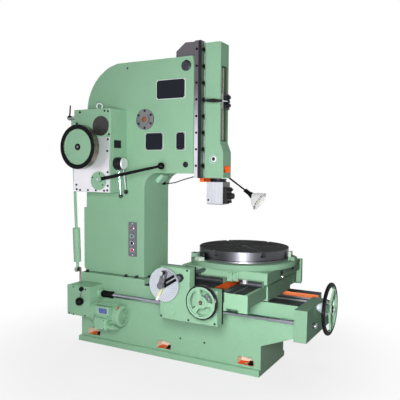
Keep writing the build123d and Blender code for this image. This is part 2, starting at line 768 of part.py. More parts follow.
# Feed box, cover and selector lever
with BuildPart() as feed_box:
    block(*FEED_BOX)
    fillet(feed_box.edges().filter_by(Axis.Y), FEED_BOX_ROUND)
    drum_x(SHAFT_Y, SHAFT_Z, SHAFT_BOSS_R, FEED_BOX[1], SHAFT_BOSS_X1)
    drum_x(SHAFT_Y, SHAFT_Z, SHAFT_R + RUN, SHAFT_X[0] - 1, SHAFT_BOSS_X1 + 1, mode=Mode.SUBTRACT)
    drum_z(PLUNGER_X, PLUNGER_Y, PLUNGER_R + RUN, PLUNGER_WELL, FEED_BOX[5] + 1, mode=Mode.SUBTRACT)
    drum_y(
        SELECTOR_X,
        SELECTOR_Z,
        SELECTOR_STUD_R + RUN,
        FEED_BOX[2] - 1,
        SELECTOR_STUD_END + 1,
        mode=Mode.SUBTRACT,
    )
keep(feed_box, "feed_box")

with BuildPart() as feed_box_cover:
    block(*FEED_BOX_COVER)
    fillet(feed_box_cover.edges().filter_by(Axis.Y), FEED_BOX_ROUND)
    drum_y(
        SELECTOR_X,
        SELECTOR_Z,
        SELECTOR_STUD_R + RUN,
        FEED_BOX_COVER[2] - 1,
        FEED_BOX_COVER[3] + 1,
        mode=Mode.SUBTRACT,
    )
keep(feed_box_cover, "feed_box_cover")

with BuildPart() as feed_selector:
    drum_y(SELECTOR_X, SELECTOR_Z, SELECTOR_HUB_R, *SELECTOR_HUB_Y)
    drum_y(SELECTOR_X, SELECTOR_Z, SELECTOR_STUD_R, SELECTOR_HUB_Y[0], SELECTOR_STUD_END)
    rod((SELECTOR_X, sum(SELECTOR_HUB_Y) / 2, SELECTOR_Z), SELECTOR_BALL, SELECTOR_ROD_R, SELECTOR_ROD_R)
    ball(SELECTOR_BALL, SELECTOR_BALL_R)
keep(feed_selector, "feed_selector")

# Feed shaft and coupling
with BuildPart() as feed_shaft:
    drum_x(SHAFT_Y, SHAFT_Z, SHAFT_R, *SHAFT_X)
    drum_x(SHAFT_Y, SHAFT_Z, SHAFT_CAP_R, *SHAFT_CAP_X)
    fillet(feed_shaft.faces().sort_by(Axis.X)[-1].edges(), SHAFT_CAP_ROUND)
    block(
        KEYWAY[0],
        KEYWAY[1],
        SHAFT_Y - SHAFT_R,
        SHAFT_Y - SHAFT_R + KEYWAY[3],
        SHAFT_Z - KEYWAY[2] / 2,
        SHAFT_Z + KEYWAY[2] / 2,
        mode=Mode.SUBTRACT,
    )
keep(feed_shaft, "feed_shaft")

with BuildPart() as shaft_coupling:
    drum_x(SHAFT_Y, SHAFT_Z, COUPLING_R, *COUPLING_X)
    chamfer(shaft_coupling.edges(), 2)
    drum_x(SHAFT_Y, SHAFT_Z, SHAFT_R + RUN, COUPLING_X[0] - 1, COUPLING_X[1] + 1, mode=Mode.SUBTRACT)
keep(shaft_coupling, "shaft_coupling")

# Rapid-traverse motor
with BuildPart() as motor_housing:
    drum_x(MOTOR_Y, MOTOR_Z, MOTOR_R, *MOTOR_X)
    drum_x(MOTOR_Y, MOTOR_Z, MOTOR_FLANGE_R, *MOTOR_FLANGE_X)
    drum_x(MOTOR_Y, MOTOR_Z, MOTOR_SPIGOT_R, FEED_BOX[1], MOTOR_FLANGE_X[0])
    with Locations(Plane(origin=(sum(FIN_X) / 2, MOTOR_Y, MOTOR_Z), x_dir=(0, 0, 1), z_dir=(1, 0, 0))):
        with PolarLocations(MOTOR_R, FIN_COUNT):
            Box(2 * FIN_HEIGHT, FIN_WIDTH, FIN_X[1] - FIN_X[0])
    for seat in (MOTOR_PANEL, TERMINAL, TERMINAL_NECK):
        block(*seat, mode=Mode.SUBTRACT)
keep(motor_housing, "motor_housing")

with BuildPart() as motor_fan_cover:
    drum_x(MOTOR_Y, MOTOR_Z, FAN_R, *FAN_X)
    fillet(motor_fan_cover.faces().sort_by(Axis.X)[-1].edges(), FAN_ROUND)
keep(motor_fan_cover, "motor_fan_cover")

with BuildPart() as motor_terminal_box:
    block(*TERMINAL)
    fillet(motor_terminal_box.faces().sort_by(Axis.Y)[0].edges(), TERMINAL_ROUND)
    block(*TERMINAL_NECK)
    block(*MOTOR_PANEL)
    drum_x(CONDUIT_Y, CONDUIT_Z, CONDUIT_R[0], CONDUIT_X[0], CONDUIT_X[1])
    drum_x(CONDUIT_Y, CONDUIT_Z, CONDUIT_R[1], CONDUIT_X[1], CONDUIT_X[2])
keep(motor_terminal_box, "motor_terminal_box")

# End bracket
with BuildPart() as end_bracket:
    slab_x(BRACKET_OUTLINE, *BRACKET_X)
    drum_x(SHAFT_Y, SHAFT_Z, SHAFT_R + RUN, BRACKET_X[0] - 1, BRACKET_X[1] + 1, mode=Mode.SUBTRACT)
    drum_x(LONG_Y, LONG_Z, LONG_SHAFT_R + RUN, LONG_SHAFT_X[0] - 1, BRACKET_X[1] + 1, mode=Mode.SUBTRACT)
    drum_x(SCREW_Y, SCREW_Z, SCREW_R + RUN, BRACKET_X[0] - 1, SCREW_X[1] + 1, mode=Mode.SUBTRACT)
keep(end_bracket, "end_bracket")

# Longitudinal handwheel, dial and screw
LONG_PLANE = Plane(origin=(LONG_SPOKE_X[0], LONG_Y, LONG_Z), x_dir=(0, 1, 0), z_dir=(1, 0, 0))

with BuildPart() as longitudinal_handwheel:
    drum_x(LONG_Y, LONG_Z, LONG_RIM_R[1], *LONG_RIM_X)
    fillet(longitudinal_handwheel.edges(), LONG_RIM_ROUND)
    drum_x(LONG_Y, LONG_Z, LONG_RIM_R[0], LONG_RIM_X[0] - 1, LONG_RIM_X[1] + 1, mode=Mode.SUBTRACT)
    with BuildSketch(LONG_PLANE) as spokes:
        with PolarLocations((LONG_RIM_R[0] + 1) / 2, 3, start_angle=LONG_SPOKE_ANGLE):
            Rectangle(LONG_RIM_R[0] + 1, LONG_SPOKE_WIDTH)
    extrude(spokes.sketch, amount=LONG_SPOKE_X[1] - LONG_SPOKE_X[0])
    drum_x(LONG_Y, LONG_Z, LONG_HUB_R, *LONG_HUB_X)
    drum_x(LONG_Y, LONG_Z, LONG_SHAFT_R, *LONG_SHAFT_X)
keep(longitudinal_handwheel, "longitudinal_handwheel")

with BuildPart() as longitudinal_dial:
    drum_x(LONG_Y, LONG_Z, DIAL_R[0], DIAL_X[0], DIAL_X[1])
    drum_x(LONG_Y, LONG_Z, DIAL_R[1], DIAL_X[1], DIAL_X[2])
    rod((DIAL_X[2], LONG_Y, LONG_Z), (DIAL_X[3], LONG_Y, LONG_Z), DIAL_R[2], DIAL_R[3])
    drum_x(LONG_Y, LONG_Z, DIAL_R[4], DIAL_X[3], DIAL_X[4])
    drum_x(LONG_Y, LONG_Z, DIAL_R[5], DIAL_X[4], DIAL_X[5])
    drum_x(LONG_Y, LONG_Z, LONG_SHAFT_R + RUN, DIAL_X[0] - 1, DIAL_X[5] + 1, mode=Mode.SUBTRACT)
keep(longitudinal_dial, "longitudinal_dial")

with BuildPart() as longitudinal_screw:
    drum_x(SCREW_Y, SCREW_Z, SCREW_R, *SCREW_X)
keep(longitudinal_screw, "longitudinal_screw")

# Saddle with its cross arms, guide tongue and nut
with BuildPart() as saddle:
    under = BED_TOP + GAP
    block(*SADDLE_X, -BASE_HALF, BASE_HALF, under, VALLEY_FLOOR)
    block(SADDLE_X[0], LEFT_WAY_X[1], -BASE_HALF, BASE_HALF, under, SADDLE_TOP)
    block(RIGHT_WAY_X[0], SADDLE_X[1], -BASE_HALF, BASE_HALF, under, SADDLE_TOP)
    for way_x in (LEFT_WAY_X, RIGHT_WAY_X):
        block(*way_x, -ARM_HALF, ARM_HALF, ARM_UNDER, SADDLE_TOP)
    block(LEFT_WAY_X[1], RIGHT_WAY_X[0], -ARM_HALF, ARM_HALF, ARM_UNDER, VALLEY_FLOOR)
    block(LEFT_WAY_X[1], RIGHT_WAY_X[0], -ARM_HALF, -VALLEY_WALL, VALLEY_FLOOR, SADDLE_TOP)
    block(LEFT_WAY_X[1], RIGHT_WAY_X[0], VALLEY_WALL, ARM_HALF, VALLEY_FLOOR, SADDLE_TOP)
    block(LEFT_WAY_X[0], RIGHT_WAY_X[1], -ARM_HALF, -ARM_LIP[0], ARM_LIP[1], ARM_UNDER)
    block(LEFT_WAY_X[0], RIGHT_WAY_X[1], ARM_LIP[0], ARM_HALF, ARM_LIP[1], ARM_UNDER)
    block(*TONGUE, under)
    block(*NUT_X, TONGUE[2], TONGUE[3], NUT_Z0, TONGUE[4])
    block(*ARM_NOTCH, mode=Mode.SUBTRACT)
    drum_x(SCREW_Y, SCREW_Z, SCREW_R + RUN, NUT_X[0] - 1, NUT_X[1] + 1, mode=Mode.SUBTRACT)
    drum_y(CROSS_X, CROSS_Z, CROSS_SCREW_R + RUN, -ARM_HALF - 1, -VALLEY_WALL + 1, mode=Mode.SUBTRACT)
    drum_y(CROSS_X, CROSS_Z, CROSS_SCREW_R + RUN, VALLEY_WALL - 1, CROSS_SCREW_Y[1] + 1, mode=Mode.SUBTRACT)
keep(saddle, "saddle")

# Apron housing in front of the saddle
with BuildPart() as apron_housing:
    slab_y(APRON_OUTLINE, *APRON_Y)
    fillet(apron_housing.faces().sort_by(Axis.Y)[0].edges(), APRON_ROUND)
    block(*APRON_PAD)
    drum_y(APRON_COVER_X, APRON_COVER_Z, APRON_COVER_R, APRON_Y[0] - APRON_COVER, APRON_Y[0] + 1)
    drum_y(CROSS_X, CROSS_Z, CROSS_SCREW_R + RUN, APRON_Y[0] - 1, APRON_PAD[3] + 1, mode=Mode.SUBTRACT)
    drum_y(INDEX_X, INDEX_Z, INDEX_SHAFT_R + RUN, APRON_Y[0] - 1, INDEX_SHAFT_WELL, mode=Mode.SUBTRACT)
    drum_y(DRIVE_X, DRIVE_Z, DRIVE_R + RUN, APRON_Y[0] - 1, APRON_Y[1] + 1, mode=Mode.SUBTRACT)
keep(apron_housing, "apron_housing")

# Index plate, crank and sector arms
with BuildPart() as index_plate:
    drum_y(INDEX_X, INDEX_Z, INDEX_R, *INDEX_Y)
    drum_y(INDEX_X, INDEX_Z, INDEX_NECK_R, INDEX_Y[1], APRON_Y[0])
    drum_y(INDEX_X, INDEX_Z, INDEX_SHAFT_R + RUN, INDEX_Y[0] - 1, APRON_Y[0] + 1, mode=Mode.SUBTRACT)
keep(index_plate, "index_plate")

with BuildPart() as index_crank:
    drum_y(INDEX_X, INDEX_Z, INDEX_SHAFT_R, *INDEX_SHAFT_Y)
    drum_y(INDEX_X, INDEX_Z, CRANK_HUB_R, *CRANK_HUB_Y)
    crank_plane = Plane(origin=(INDEX_X, CRANK_ARM_Y[1], INDEX_Z), x_dir=(1, 0, 0), z_dir=(0, -1, 0))
    with BuildSketch(crank_plane) as crank:
        with PolarLocations(CRANK_ARM_RUN / 2, 1, start_angle=CRANK_ANGLE):
            SlotCenterToCenter(CRANK_ARM_RUN, CRANK_ARM_WIDTH)
        with PolarLocations(CRANK_SLOT_AT, 1, start_angle=CRANK_ANGLE):
            SlotOverall(*CRANK_SLOT, mode=Mode.SUBTRACT)
    extrude(crank.sketch, amount=CRANK_ARM_Y[1] - CRANK_ARM_Y[0])
    knob_x = INDEX_X + CRANK_KNOB_AT * cos(radians(CRANK_ANGLE))
    knob_z = INDEX_Z + CRANK_KNOB_AT * sin(radians(CRANK_ANGLE))
    drum_y(knob_x, knob_z, CRANK_KNOB_R, *CRANK_KNOB_Y)
    drum_y(knob_x, knob_z, CRANK_PLUNGER_R, CRANK_KNOB_Y[1], CRANK_PLUNGER_END)
keep(index_crank, "index_crank")

with BuildPart() as sector_arms:
    sector_plane = Plane(origin=(INDEX_X, SECTOR_Y[1], INDEX_Z), x_dir=(1, 0, 0), z_dir=(0, -1, 0))
    with BuildSketch(sector_plane) as arms:
        Circle(SECTOR_R)
        with PolarLocations(SECTOR_LONG[0] / 2, 1, start_angle=SECTOR_LONG[2]):
            Rectangle(SECTOR_LONG[0], SECTOR_LONG[1])
        with PolarLocations(SECTOR_BARS[0] / 2, 1, start_angle=SECTOR_BARS[2]):
            with Locations((0, SECTOR_BAR_OFFSET), (0, -SECTOR_BAR_OFFSET)):
                Rectangle(SECTOR_BARS[0], SECTOR_BARS[1])
        Circle(INDEX_SHAFT_R + RUN, mode=Mode.SUBTRACT)
    extrude(arms.sketch, amount=SECTOR_Y[1] - SECTOR_Y[0])
keep(sector_arms, "sector_arms")

# Table drive shaft from the apron into the cross slide
with BuildPart() as table_drive_shaft:
    drum_y(DRIVE_X, DRIVE_Z, DRIVE_R, *DRIVE_Y)
    drum_y(DRIVE_X, DRIVE_Z, DRIVE_KNOB_R, *DRIVE_KNOB_Y)
keep(table_drive_shaft, "table_drive_shaft")

# Cross handwheel, grip and screw
CROSS_PLANE = Plane(origin=(CROSS_X, CROSS_WHEEL_Y, CROSS_Z), x_dir=(1, 0, 0), z_dir=(0, -1, 0))

with BuildPart() as cross_handwheel:
    drum_y(CROSS_X, CROSS_Z, CROSS_RIM_R[1], *CROSS_RIM_Y)
    fillet(cross_handwheel.edges(), CROSS_RIM_ROUND)
    drum_y(CROSS_X, CROSS_Z, CROSS_RIM_R[0], CROSS_RIM_Y[0] - 1, CROSS_RIM_Y[1] + 1, mode=Mode.SUBTRACT)
    drum_y(CROSS_X, CROSS_Z, CROSS_RIM_R[0] + 1, *CROSS_WEB_Y)
    with BuildSketch(CROSS_PLANE) as windows:
        Circle(CROSS_WINDOW_R[1])
        Circle(CROSS_WINDOW_R[0], mode=Mode.SUBTRACT)
        with PolarLocations(CROSS_WINDOW_R[1] / 2, 3, start_angle=CROSS_SPOKE_ANGLE):
            Rectangle(CROSS_WINDOW_R[1] + 2, CROSS_SPOKE_WIDTH, mode=Mode.SUBTRACT)
        fillet(windows.vertices(), CROSS_WINDOW_ROUND)
    extrude(windows.sketch, amount=CROSS_RIM_ROUND, both=True, mode=Mode.SUBTRACT)
    drum_y(CROSS_X, CROSS_Z, CROSS_HUB_R, *CROSS_HUB_Y)
    drum_y(CROSS_X, CROSS_Z, CROSS_SCREW_R + RUN, CROSS_SCREW_Y[0], CROSS_HUB_Y[1] + 1, mode=Mode.SUBTRACT)
keep(cross_handwheel, "cross_handwheel")

with BuildPart() as cross_grip:
    grip_x = CROSS_X + CROSS_GRIP_AT * cos(radians(CROSS_GRIP_ANGLE))
    grip_z = CROSS_Z + CROSS_GRIP_AT * sin(radians(CROSS_GRIP_ANGLE))
    drum_y(grip_x, grip_z, CROSS_GRIP_R, *CROSS_GRIP_Y)
    fillet(cross_grip.faces().sort_by(Axis.Y)[-1].edges(), CROSS_GRIP_R / 2)
keep(cross_grip, "cross_grip")

with BuildPart() as cross_screw:
    drum_y(CROSS_X, CROSS_Z, CROSS_SCREW_R, *CROSS_SCREW_Y)
    drum_y(CROSS_X, CROSS_Z, CROSS_DIAL_R, *CROSS_DIAL_Y)
keep(cross_screw, "cross_screw")

# Cross slide with its nut, gibs and the table base ring
with BuildPart() as cross_slide:
    block(*CROSS_SLIDE)
    chamfer(cross_slide.faces().sort_by(Axis.Z)[0].edges(), CROSS_SLIDE_CHAMFER)
    for skirt_x in (CROSS_SLIDE[0], CROSS_SLIDE[1] - SKIRT):
        block(skirt_x, skirt_x + SKIRT, CROSS_SLIDE[2], CROSS_SLIDE[3], SKIRT_Z0, CROSS_SLIDE[5])
    block(*REAR_LIP, CROSS_SLIDE[5])
    block(*CROSS_NUT)
    block(*STOP_LUG)
    drum_y(CROSS_X, CROSS_Z, CROSS_SCREW_R + RUN, CROSS_NUT[2] - 1, CROSS_NUT[3] + 1, mode=Mode.SUBTRACT)
    drum_y(DRIVE_X, DRIVE_Z, DRIVE_R + RUN, CROSS_SLIDE[2] - 1, CROSS_SLIDE[3] + 1, mode=Mode.SUBTRACT)
keep(cross_slide, "cross_slide")

with BuildPart() as cross_slide_gibs:
    for way_x in (LEFT_WAY_X, RIGHT_WAY_X):
        block(way_x[0] + GIB_INSET, way_x[1] - GIB_INSET, *GIB_Y, GIB_Z0, CROSS_SLIDE[4])
keep(cross_slide_gibs, "cross_slide_gibs")

with BuildPart() as table_base_ring:
    drum_z(TABLE_X, TABLE_Y, RING_R, *RING_Z)
    for angle in CLAMP_ANGLES:
        with Locations(Location((TABLE_X, TABLE_Y, (RING_Z[0] + CLAMP_TOP) / 2), (0, 0, angle))):
            with Locations((sum(CLAMP_R) / 2, 0, 0)):
                Box(CLAMP_R[1] - CLAMP_R[0], CLAMP_WIDTH, CLAMP_TOP - RING_Z[0])
    drum_z(TABLE_X, TABLE_Y, RING_BORE_R, RING_Z[0] - 1, RING_Z[1] + 1, mode=Mode.SUBTRACT)
keep(table_base_ring, "table_base_ring")

# Round table with radial T-slots
with BuildPart() as rotary_table:
    drum_z(TABLE_X, TABLE_Y, TABLE_R, *TABLE_Z)
    drum_z(TABLE_X, TABLE_Y, TABLE_LIP_R, *TABLE_LIP_Z)
    drum_z(TABLE_X, TABLE_Y, RING_BORE_R - RUN, RING_Z[0] + 1, TABLE_Z[0])
    drum_z(TABLE_X, TABLE_Y, TABLE_BORE_R, RING_Z[0], TABLE_Z[1] + 1, mode=Mode.SUBTRACT)
    for step in range(SLOT_COUNT):
        slot_turn = SLOT_ANGLE + step * 360 / SLOT_COUNT
        slot_mid = (SLOT_R0 + TABLE_LIP_R + 1) / 2
        slot_run = TABLE_LIP_R + 1 - SLOT_R0
        with Locations(Location((TABLE_X, TABLE_Y, TABLE_Z[1]), (0, 0, slot_turn))):
            with Locations((slot_mid, 0, -SLOT_NECK / 2)):
                Box(slot_run, SLOT_WIDTH, SLOT_NECK + 1, mode=Mode.SUBTRACT)
            with Locations((slot_mid, 0, -SLOT_NECK - SLOT_FOOT / 2)):
                Box(slot_run, SLOT_FOOT_WIDTH, SLOT_FOOT, mode=Mode.SUBTRACT)
keep(rotary_table, "rotary_table")

# Ram guide that swivels in the head, and its keepers
with BuildPart() as ram_guide:
    face_x = GUIDE_FACE_X - GAP
    block(GUIDE_BACK_X, face_x, -GUIDE_BACK_HALF, GUIDE_BACK_HALF, *GUIDE_Z)
    block(GUIDE_SHOULDER_X, face_x, -CHEEK_Y[1], CHEEK_Y[1], *GUIDE_Z)
    block(GUIDE_SHOULDER_X, CHEEK_X1, CHEEK_Y[0], CHEEK_Y[1], *GUIDE_Z)
    block(GUIDE_SHOULDER_X, CHEEK_X1, -CHEEK_Y[1], -CHEEK_Y[0], *GUIDE_Z)
    slab_y(TAIL, -GUIDE_BACK_HALF, GUIDE_BACK_HALF)
    drum_y(PIVOT_X, PIVOT_Z, PIVOT_R + RUN, -GUIDE_BACK_HALF - 1, GUIDE_BACK_HALF + 1, mode=Mode.SUBTRACT)
keep(ram_guide, "ram_guide")

with BuildPart() as guide_keepers:
    block(*KEEPER_X, KEEPER_Y[0], KEEPER_Y[1], *GUIDE_Z)
    block(*KEEPER_X, -KEEPER_Y[1], -KEEPER_Y[0], *GUIDE_Z)
keep(guide_keepers, "guide_keepers")

# Ram
with BuildPart() as ram:
    block(GUIDE_FACE_X, RAM_X1, -RAM_HALF, RAM_HALF, *RAM_Z)
    chamfer(ram.edges().group_by(Axis.Z)[-1].sort_by(Axis.X)[-1], FLANGE_CHAMFER)
    slab_y(RAM_FOOT, -RAM_HALF, RAM_HALF)
    block(GUIDE_FACE_X, CHEEK_X1 - GAP, GAP - CHEEK_Y[0], CHEEK_Y[0] - GAP, *RAM_Z)
    drum_y(RELIEF_X, RELIEF_Z, RELIEF_BOSS_R, -RAM_HALF - RELIEF_BOSS, RAM_HALF + RELIEF_BOSS)
    block(*RAM_SLOT, mode=Mode.SUBTRACT)
    block(*RAM_SLOT_DEEP, mode=Mode.SUBTRACT)
    block(*RAM_POCKET, mode=Mode.SUBTRACT)
    block(*RAM_WINDOW, mode=Mode.SUBTRACT)
    drum_y(RELIEF_X, RELIEF_Z, RELIEF_R + RUN, -RELIEF_OUT, RELIEF_OUT, mode=Mode.SUBTRACT)
keep(ram, "ram")

with BuildPart() as relief_pin:
    drum_y(RELIEF_X, RELIEF_Z, RELIEF_R, -RELIEF_OUT, RELIEF_OUT)
keep(relief_pin, "relief_pin")

with BuildPart() as ram_stop_block:
    block(*STOP_BLOCK)
keep(ram_stop_block, "ram_stop_block")

# Clamp plate with its nuts and lever
with BuildPart() as ram_clamp_plate:
    block(*CLAMP_PLATE)
    for nut_z in CLAMP_NUT_ZS:
        drum_x(0, nut_z, CLAMP_NUT_R, CLAMP_PLATE[1], CLAMP_NUT_X1)
    drum_x(0, CLAMP_LEVER_Z, CLAMP_HUB_R + 1, CLAMP_PLATE[1], CLAMP_NUT_X1 + 1, mode=Mode.SUBTRACT)
    drum_x(0, CLAMP_LEVER_Z, CLAMP_STUD_R, CLAMP_PLATE[1], CLAMP_STUD_X1)
keep(ram_clamp_plate, "ram_clamp_plate")

with BuildPart() as clamp_lever:
    grip_mid = tuple((a + b) / 2 for a, b in zip(CLAMP_NECK[1], CLAMP_GRIP_END))
    drum_x(0, CLAMP_LEVER_Z, CLAMP_HUB_R, *CLAMP_HUB_X)
    rod(*CLAMP_NECK, CLAMP_NECK_R, CLAMP_NECK_R)
    ball(CLAMP_NECK[1], CLAMP_GRIP_R[0])
    rod(CLAMP_NECK[1], grip_mid, CLAMP_GRIP_R[0], CLAMP_GRIP_R[1])
    rod(grip_mid, CLAMP_GRIP_END, CLAMP_GRIP_R[1], CLAMP_GRIP_R[2])
    ball(CLAMP_GRIP_END, CLAMP_GRIP_R[2])
    drum_x(0, CLAMP_LEVER_Z, CLAMP_STUD_R + RUN, CLAMP_HUB_X[0] - 1, CLAMP_STUD_X1 + 1, mode=Mode.SUBTRACT)
keep(clamp_lever, "clamp_lever")

# Tool stem, tool head and tool clamp
with BuildPart() as tool_stem:
    block(*STEM)
    drum_z(SWIVEL_X, 0, SWIVEL_R, SWIVEL_Z[0], SWIVEL_Z[1])
    drum_z(SWIVEL_X, 0, SWIVEL_GROOVE_R, SWIVEL_Z[1], SWIVEL_Z[2])
    drum_z(SWIVEL_X, 0, SWIVEL_R, SWIVEL_Z[2], SWIVEL_Z[3])
    drum_y(RELIEF_X, RELIEF_Z, RELIEF_R + RUN, STEM[2] - 1, STEM[3] + 1, mode=Mode.SUBTRACT)
keep(tool_stem, "tool_stem")

with BuildPart() as tool_head:
    block(*TOOL_HEAD)
    chamfer(tool_head.faces().sort_by(Axis.Z)[0].edges(), TOOL_HEAD_CHAMFER)
    block(*TOOL_HOLE, mode=Mode.SUBTRACT)
keep(tool_head, "tool_head")

with BuildPart() as tool_clamp:
    block(*TOOL_CLAMP)
    fillet(tool_clamp.edges().filter_by(Axis.X), TOOL_CLAMP_ROUND)
    for bolt_z, bolt_r, bolt_x in zip(TOOL_BOLT_ZS, TOOL_BOLT_RS, TOOL_BOLT_X1S):
        drum_x(0, bolt_z, bolt_r, TOOL_CLAMP[1], bolt_x)
keep(tool_clamp, "tool_clamp")

# Work lamp
with BuildPart() as lamp_bracket:
    block(*LAMP_PLATE)
    drum_y(LAMP_X, LAMP_Z, LAMP_STUD_R, LAMP_PLATE[3], LAMP_STUD_Y1)
keep(lamp_bracket, "lamp_bracket")

with BuildPart() as lamp_arm:
    drum_y(LAMP_X, LAMP_Z, LAMP_EYE_R, *LAMP_EYE_Y)
    rod((LAMP_X, LAMP_Y, LAMP_Z), (LAMP_TIP_X, LAMP_Y, LAMP_TIP_Z), LAMP_ROD_R, LAMP_ROD_R - 1)
    drum_y(LAMP_TIP_X, LAMP_TIP_Z, LAMP_TIP_R, LAMP_Y - LAMP_TIP_HALF, LAMP_Y + LAMP_TIP_HALF)
    drum_y(LAMP_TIP_X, LAMP_TIP_Z, LAMP_PIN_R, LAMP_Y - LAMP_PIN_HALF, LAMP_Y + LAMP_PIN_HALF)
    drum_y(LAMP_X, LAMP_Z, LAMP_STUD_R + RUN, LAMP_EYE_Y[0] - 1, LAMP_EYE_Y[1] + 1, mode=Mode.SUBTRACT)
keep(lamp_arm, "lamp_arm")

LAMP_PLANE = Plane(
    origin=(LAMP_TIP_X, LAMP_Y, LAMP_TIP_Z),
    x_dir=(0, 1, 0),
    z_dir=(LAMP_TIP_X - LAMP_X, 0, LAMP_TIP_Z - LAMP_Z),
)
FROM_BASE = (Align.CENTER, Align.CENTER, Align.MIN)

with BuildPart() as lamp_shade:
    with Locations(LAMP_PLANE):
        with Locations((0, 0, SOCKET_Z[0])):
            Cone(SOCKET_R[0], SOCKET_R[1], SOCKET_Z[1] - SOCKET_Z[0], align=FROM_BASE)
        with Locations((0, 0, SHADE_Z[0])):
            Cone(SHADE_R[0], SHADE_R[1], SHADE_Z[1] - SHADE_Z[0], align=FROM_BASE)
        with Locations((0, 0, SHADE_Z[1])):
            Cone(SHADE_R[1], SHADE_R[2], SHADE_Z[2] - SHADE_Z[1], align=FROM_BASE)
        with Locations((0, 0, SHADE_Z[1])):
            Cone(
                SHADE_R[1] - SHADE_WALL,
                SHADE_R[2] - SHADE_WALL,
                SHADE_Z[2] - SHADE_Z[1],
                align=FROM_BASE,
                mode=Mode.SUBTRACT,
            )
        with Locations((0, 0, SHADE_Z[0] + SHADE_WALL)):
            Cone(
                SHADE_R[0] - SHADE_WALL,
                SHADE_R[1] - SHADE_WALL,
                SHADE_Z[1] - SHADE_Z[0] - SHADE_WALL,
                align=FROM_BASE,
                mode=Mode.SUBTRACT,
            )
        for sense in (-1, 1):
            with Locations((sense * sum(FORK_PLATE_Y) / 2, 0, sum(FORK_PLATE_Z) / 2)):
                Box(FORK_PLATE_Y[1] - FORK_PLATE_Y[0], FORK_PLATE_WIDTH, FORK_PLATE_Z[1] - FORK_PLATE_Z[0])
    pin_bore_y = (LAMP_Y - SHADE_R[0], LAMP_Y + SHADE_R[0])
    drum_y(LAMP_TIP_X, LAMP_TIP_Z, LAMP_PIN_R + RUN, *pin_bore_y, mode=Mode.SUBTRACT)
keep(lamp_shade, "lamp_shade")

# Lamp cable with its gland on the column and clip in the head
with BuildPart() as cable_glands:
    gland_yz = CABLE_POINTS[0][1:]
    clip_xy = CABLE_POINTS[-1][:2]
    drum_x(*gland_yz, GLAND_R, *GLAND_X)
    drum_x(*gland_yz, GLAND_BORE_R, GLAND_BORE_X0, GLAND_X[1] + 1, mode=Mode.SUBTRACT)
    block(*CLIP)
    drum_z(*clip_xy, GLAND_BORE_R, CLIP[4] - 1, CLIP_BORE_Z1, mode=Mode.SUBTRACT)
keep(cable_glands, "cable_glands")

cable_vectors = [Vector(*point) for point in CABLE_POINTS]
cable_radii = []
for before, here, after in zip(cable_vectors, cable_vectors[1:], cable_vectors[2:]):
    turn = (here - before).get_angle(after - here)
    shorter = min((here - before).length, (after - here).length)
    cable_radii.append(CABLE_FILL * shorter / tan(radians(turn / 2)))
print("cable radii", [round(radius, 1) for radius in cable_radii])

with BuildPart() as lamp_cable:
    with BuildLine() as route:
        FilletPolyline(*CABLE_POINTS, radius=cable_radii)
    with BuildSketch(Plane(origin=route.line @ 0, z_dir=route.line % 0)):
        Circle(CABLE_R)
    sweep()
keep(lamp_cable, "lamp_cable")
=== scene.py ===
from math import cos, pi, radians, sin

import bmesh
import bpy
from mathutils import Matrix, Vector


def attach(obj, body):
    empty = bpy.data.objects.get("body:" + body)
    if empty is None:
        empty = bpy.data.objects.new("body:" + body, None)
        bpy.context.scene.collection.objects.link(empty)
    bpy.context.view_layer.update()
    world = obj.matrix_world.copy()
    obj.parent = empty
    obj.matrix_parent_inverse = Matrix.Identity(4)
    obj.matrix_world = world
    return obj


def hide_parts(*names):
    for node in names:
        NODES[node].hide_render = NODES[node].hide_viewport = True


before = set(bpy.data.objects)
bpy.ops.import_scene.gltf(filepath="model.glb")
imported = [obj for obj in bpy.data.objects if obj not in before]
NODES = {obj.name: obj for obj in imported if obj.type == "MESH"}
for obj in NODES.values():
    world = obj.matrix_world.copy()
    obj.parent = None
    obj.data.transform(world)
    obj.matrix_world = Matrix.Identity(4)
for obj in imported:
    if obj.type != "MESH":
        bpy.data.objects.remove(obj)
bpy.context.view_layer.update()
MM = 0.001

# Camera of the photograph: angles in degrees, place and far clip in metres, lens and sensor in millimetres
YAW = 28.73
PITCH = 3.40
ROLL = 0.49
EYE = (2.05415, -3.416, 1.362)
LENS = 47.9
SENSOR = 36
FAR_CLIP = 100

# Axes in millimetres that run along Y, as X and Z
FLANGE_AXIS = (-188, 1716)
COVER_AXIS = (-443, 1663)
CLUTCH_AXIS = (-428, 1277)
FLYWHEEL_AXIS = (-556, 1508)
INDEX_AXIS = (282, 636)
DRIVE_AXIS = (380, 684)
CROSS_AXIS = (577, 572)
PIVOT_AXIS = (156, 2078)
RELIEF_AXIS = (327, 1429)
APRON_COVER_AXIS = (304, 470)

# Axes that run along X, as Y and Z, and the table's upright axis, as X and Y
SPEED_AXIS = (-288, 1392)
LONG_AXIS = (-165, 497)
TABLE_AXIS = (523, 34)

# Faces across Y in millimetres: fronts, and sides that come on both halves of the machine
BUTTON_PANEL_FRONT = -172
BEZEL_FRONT = -178.5
FLANGE_FRONT = -178
BUSH_FRONT = -185
SLIDE_FRONT = -285
STOP_FRONT = -299
GEARBOX_FRONT = -361
LEFT_PLATE_FRONT = -369
COVER_FRONT = -371
RIGHT_PLATE_FRONT = -373
FEED_BOX_FRONT = -375
LEVER_COVER_FRONT = -383
MOTOR_FRONT = -408
CLUTCH_FRONT = -416
TERMINAL_FRONT = -418
APRON_FRONT = -610
APRON_COVER_FRONT = -615
INDEX_FRONT = -646
CROSS_WHEEL_FRONT = -704
TOOL_SIDE = 58
RAM_SIDE = 70
RELIEF_SIDE = 73
COLUMN_SIDE = 166
PIVOT_SIDE = 172
LAMP_BRACKET_SIDE = 174
BASE_SIDE = 217

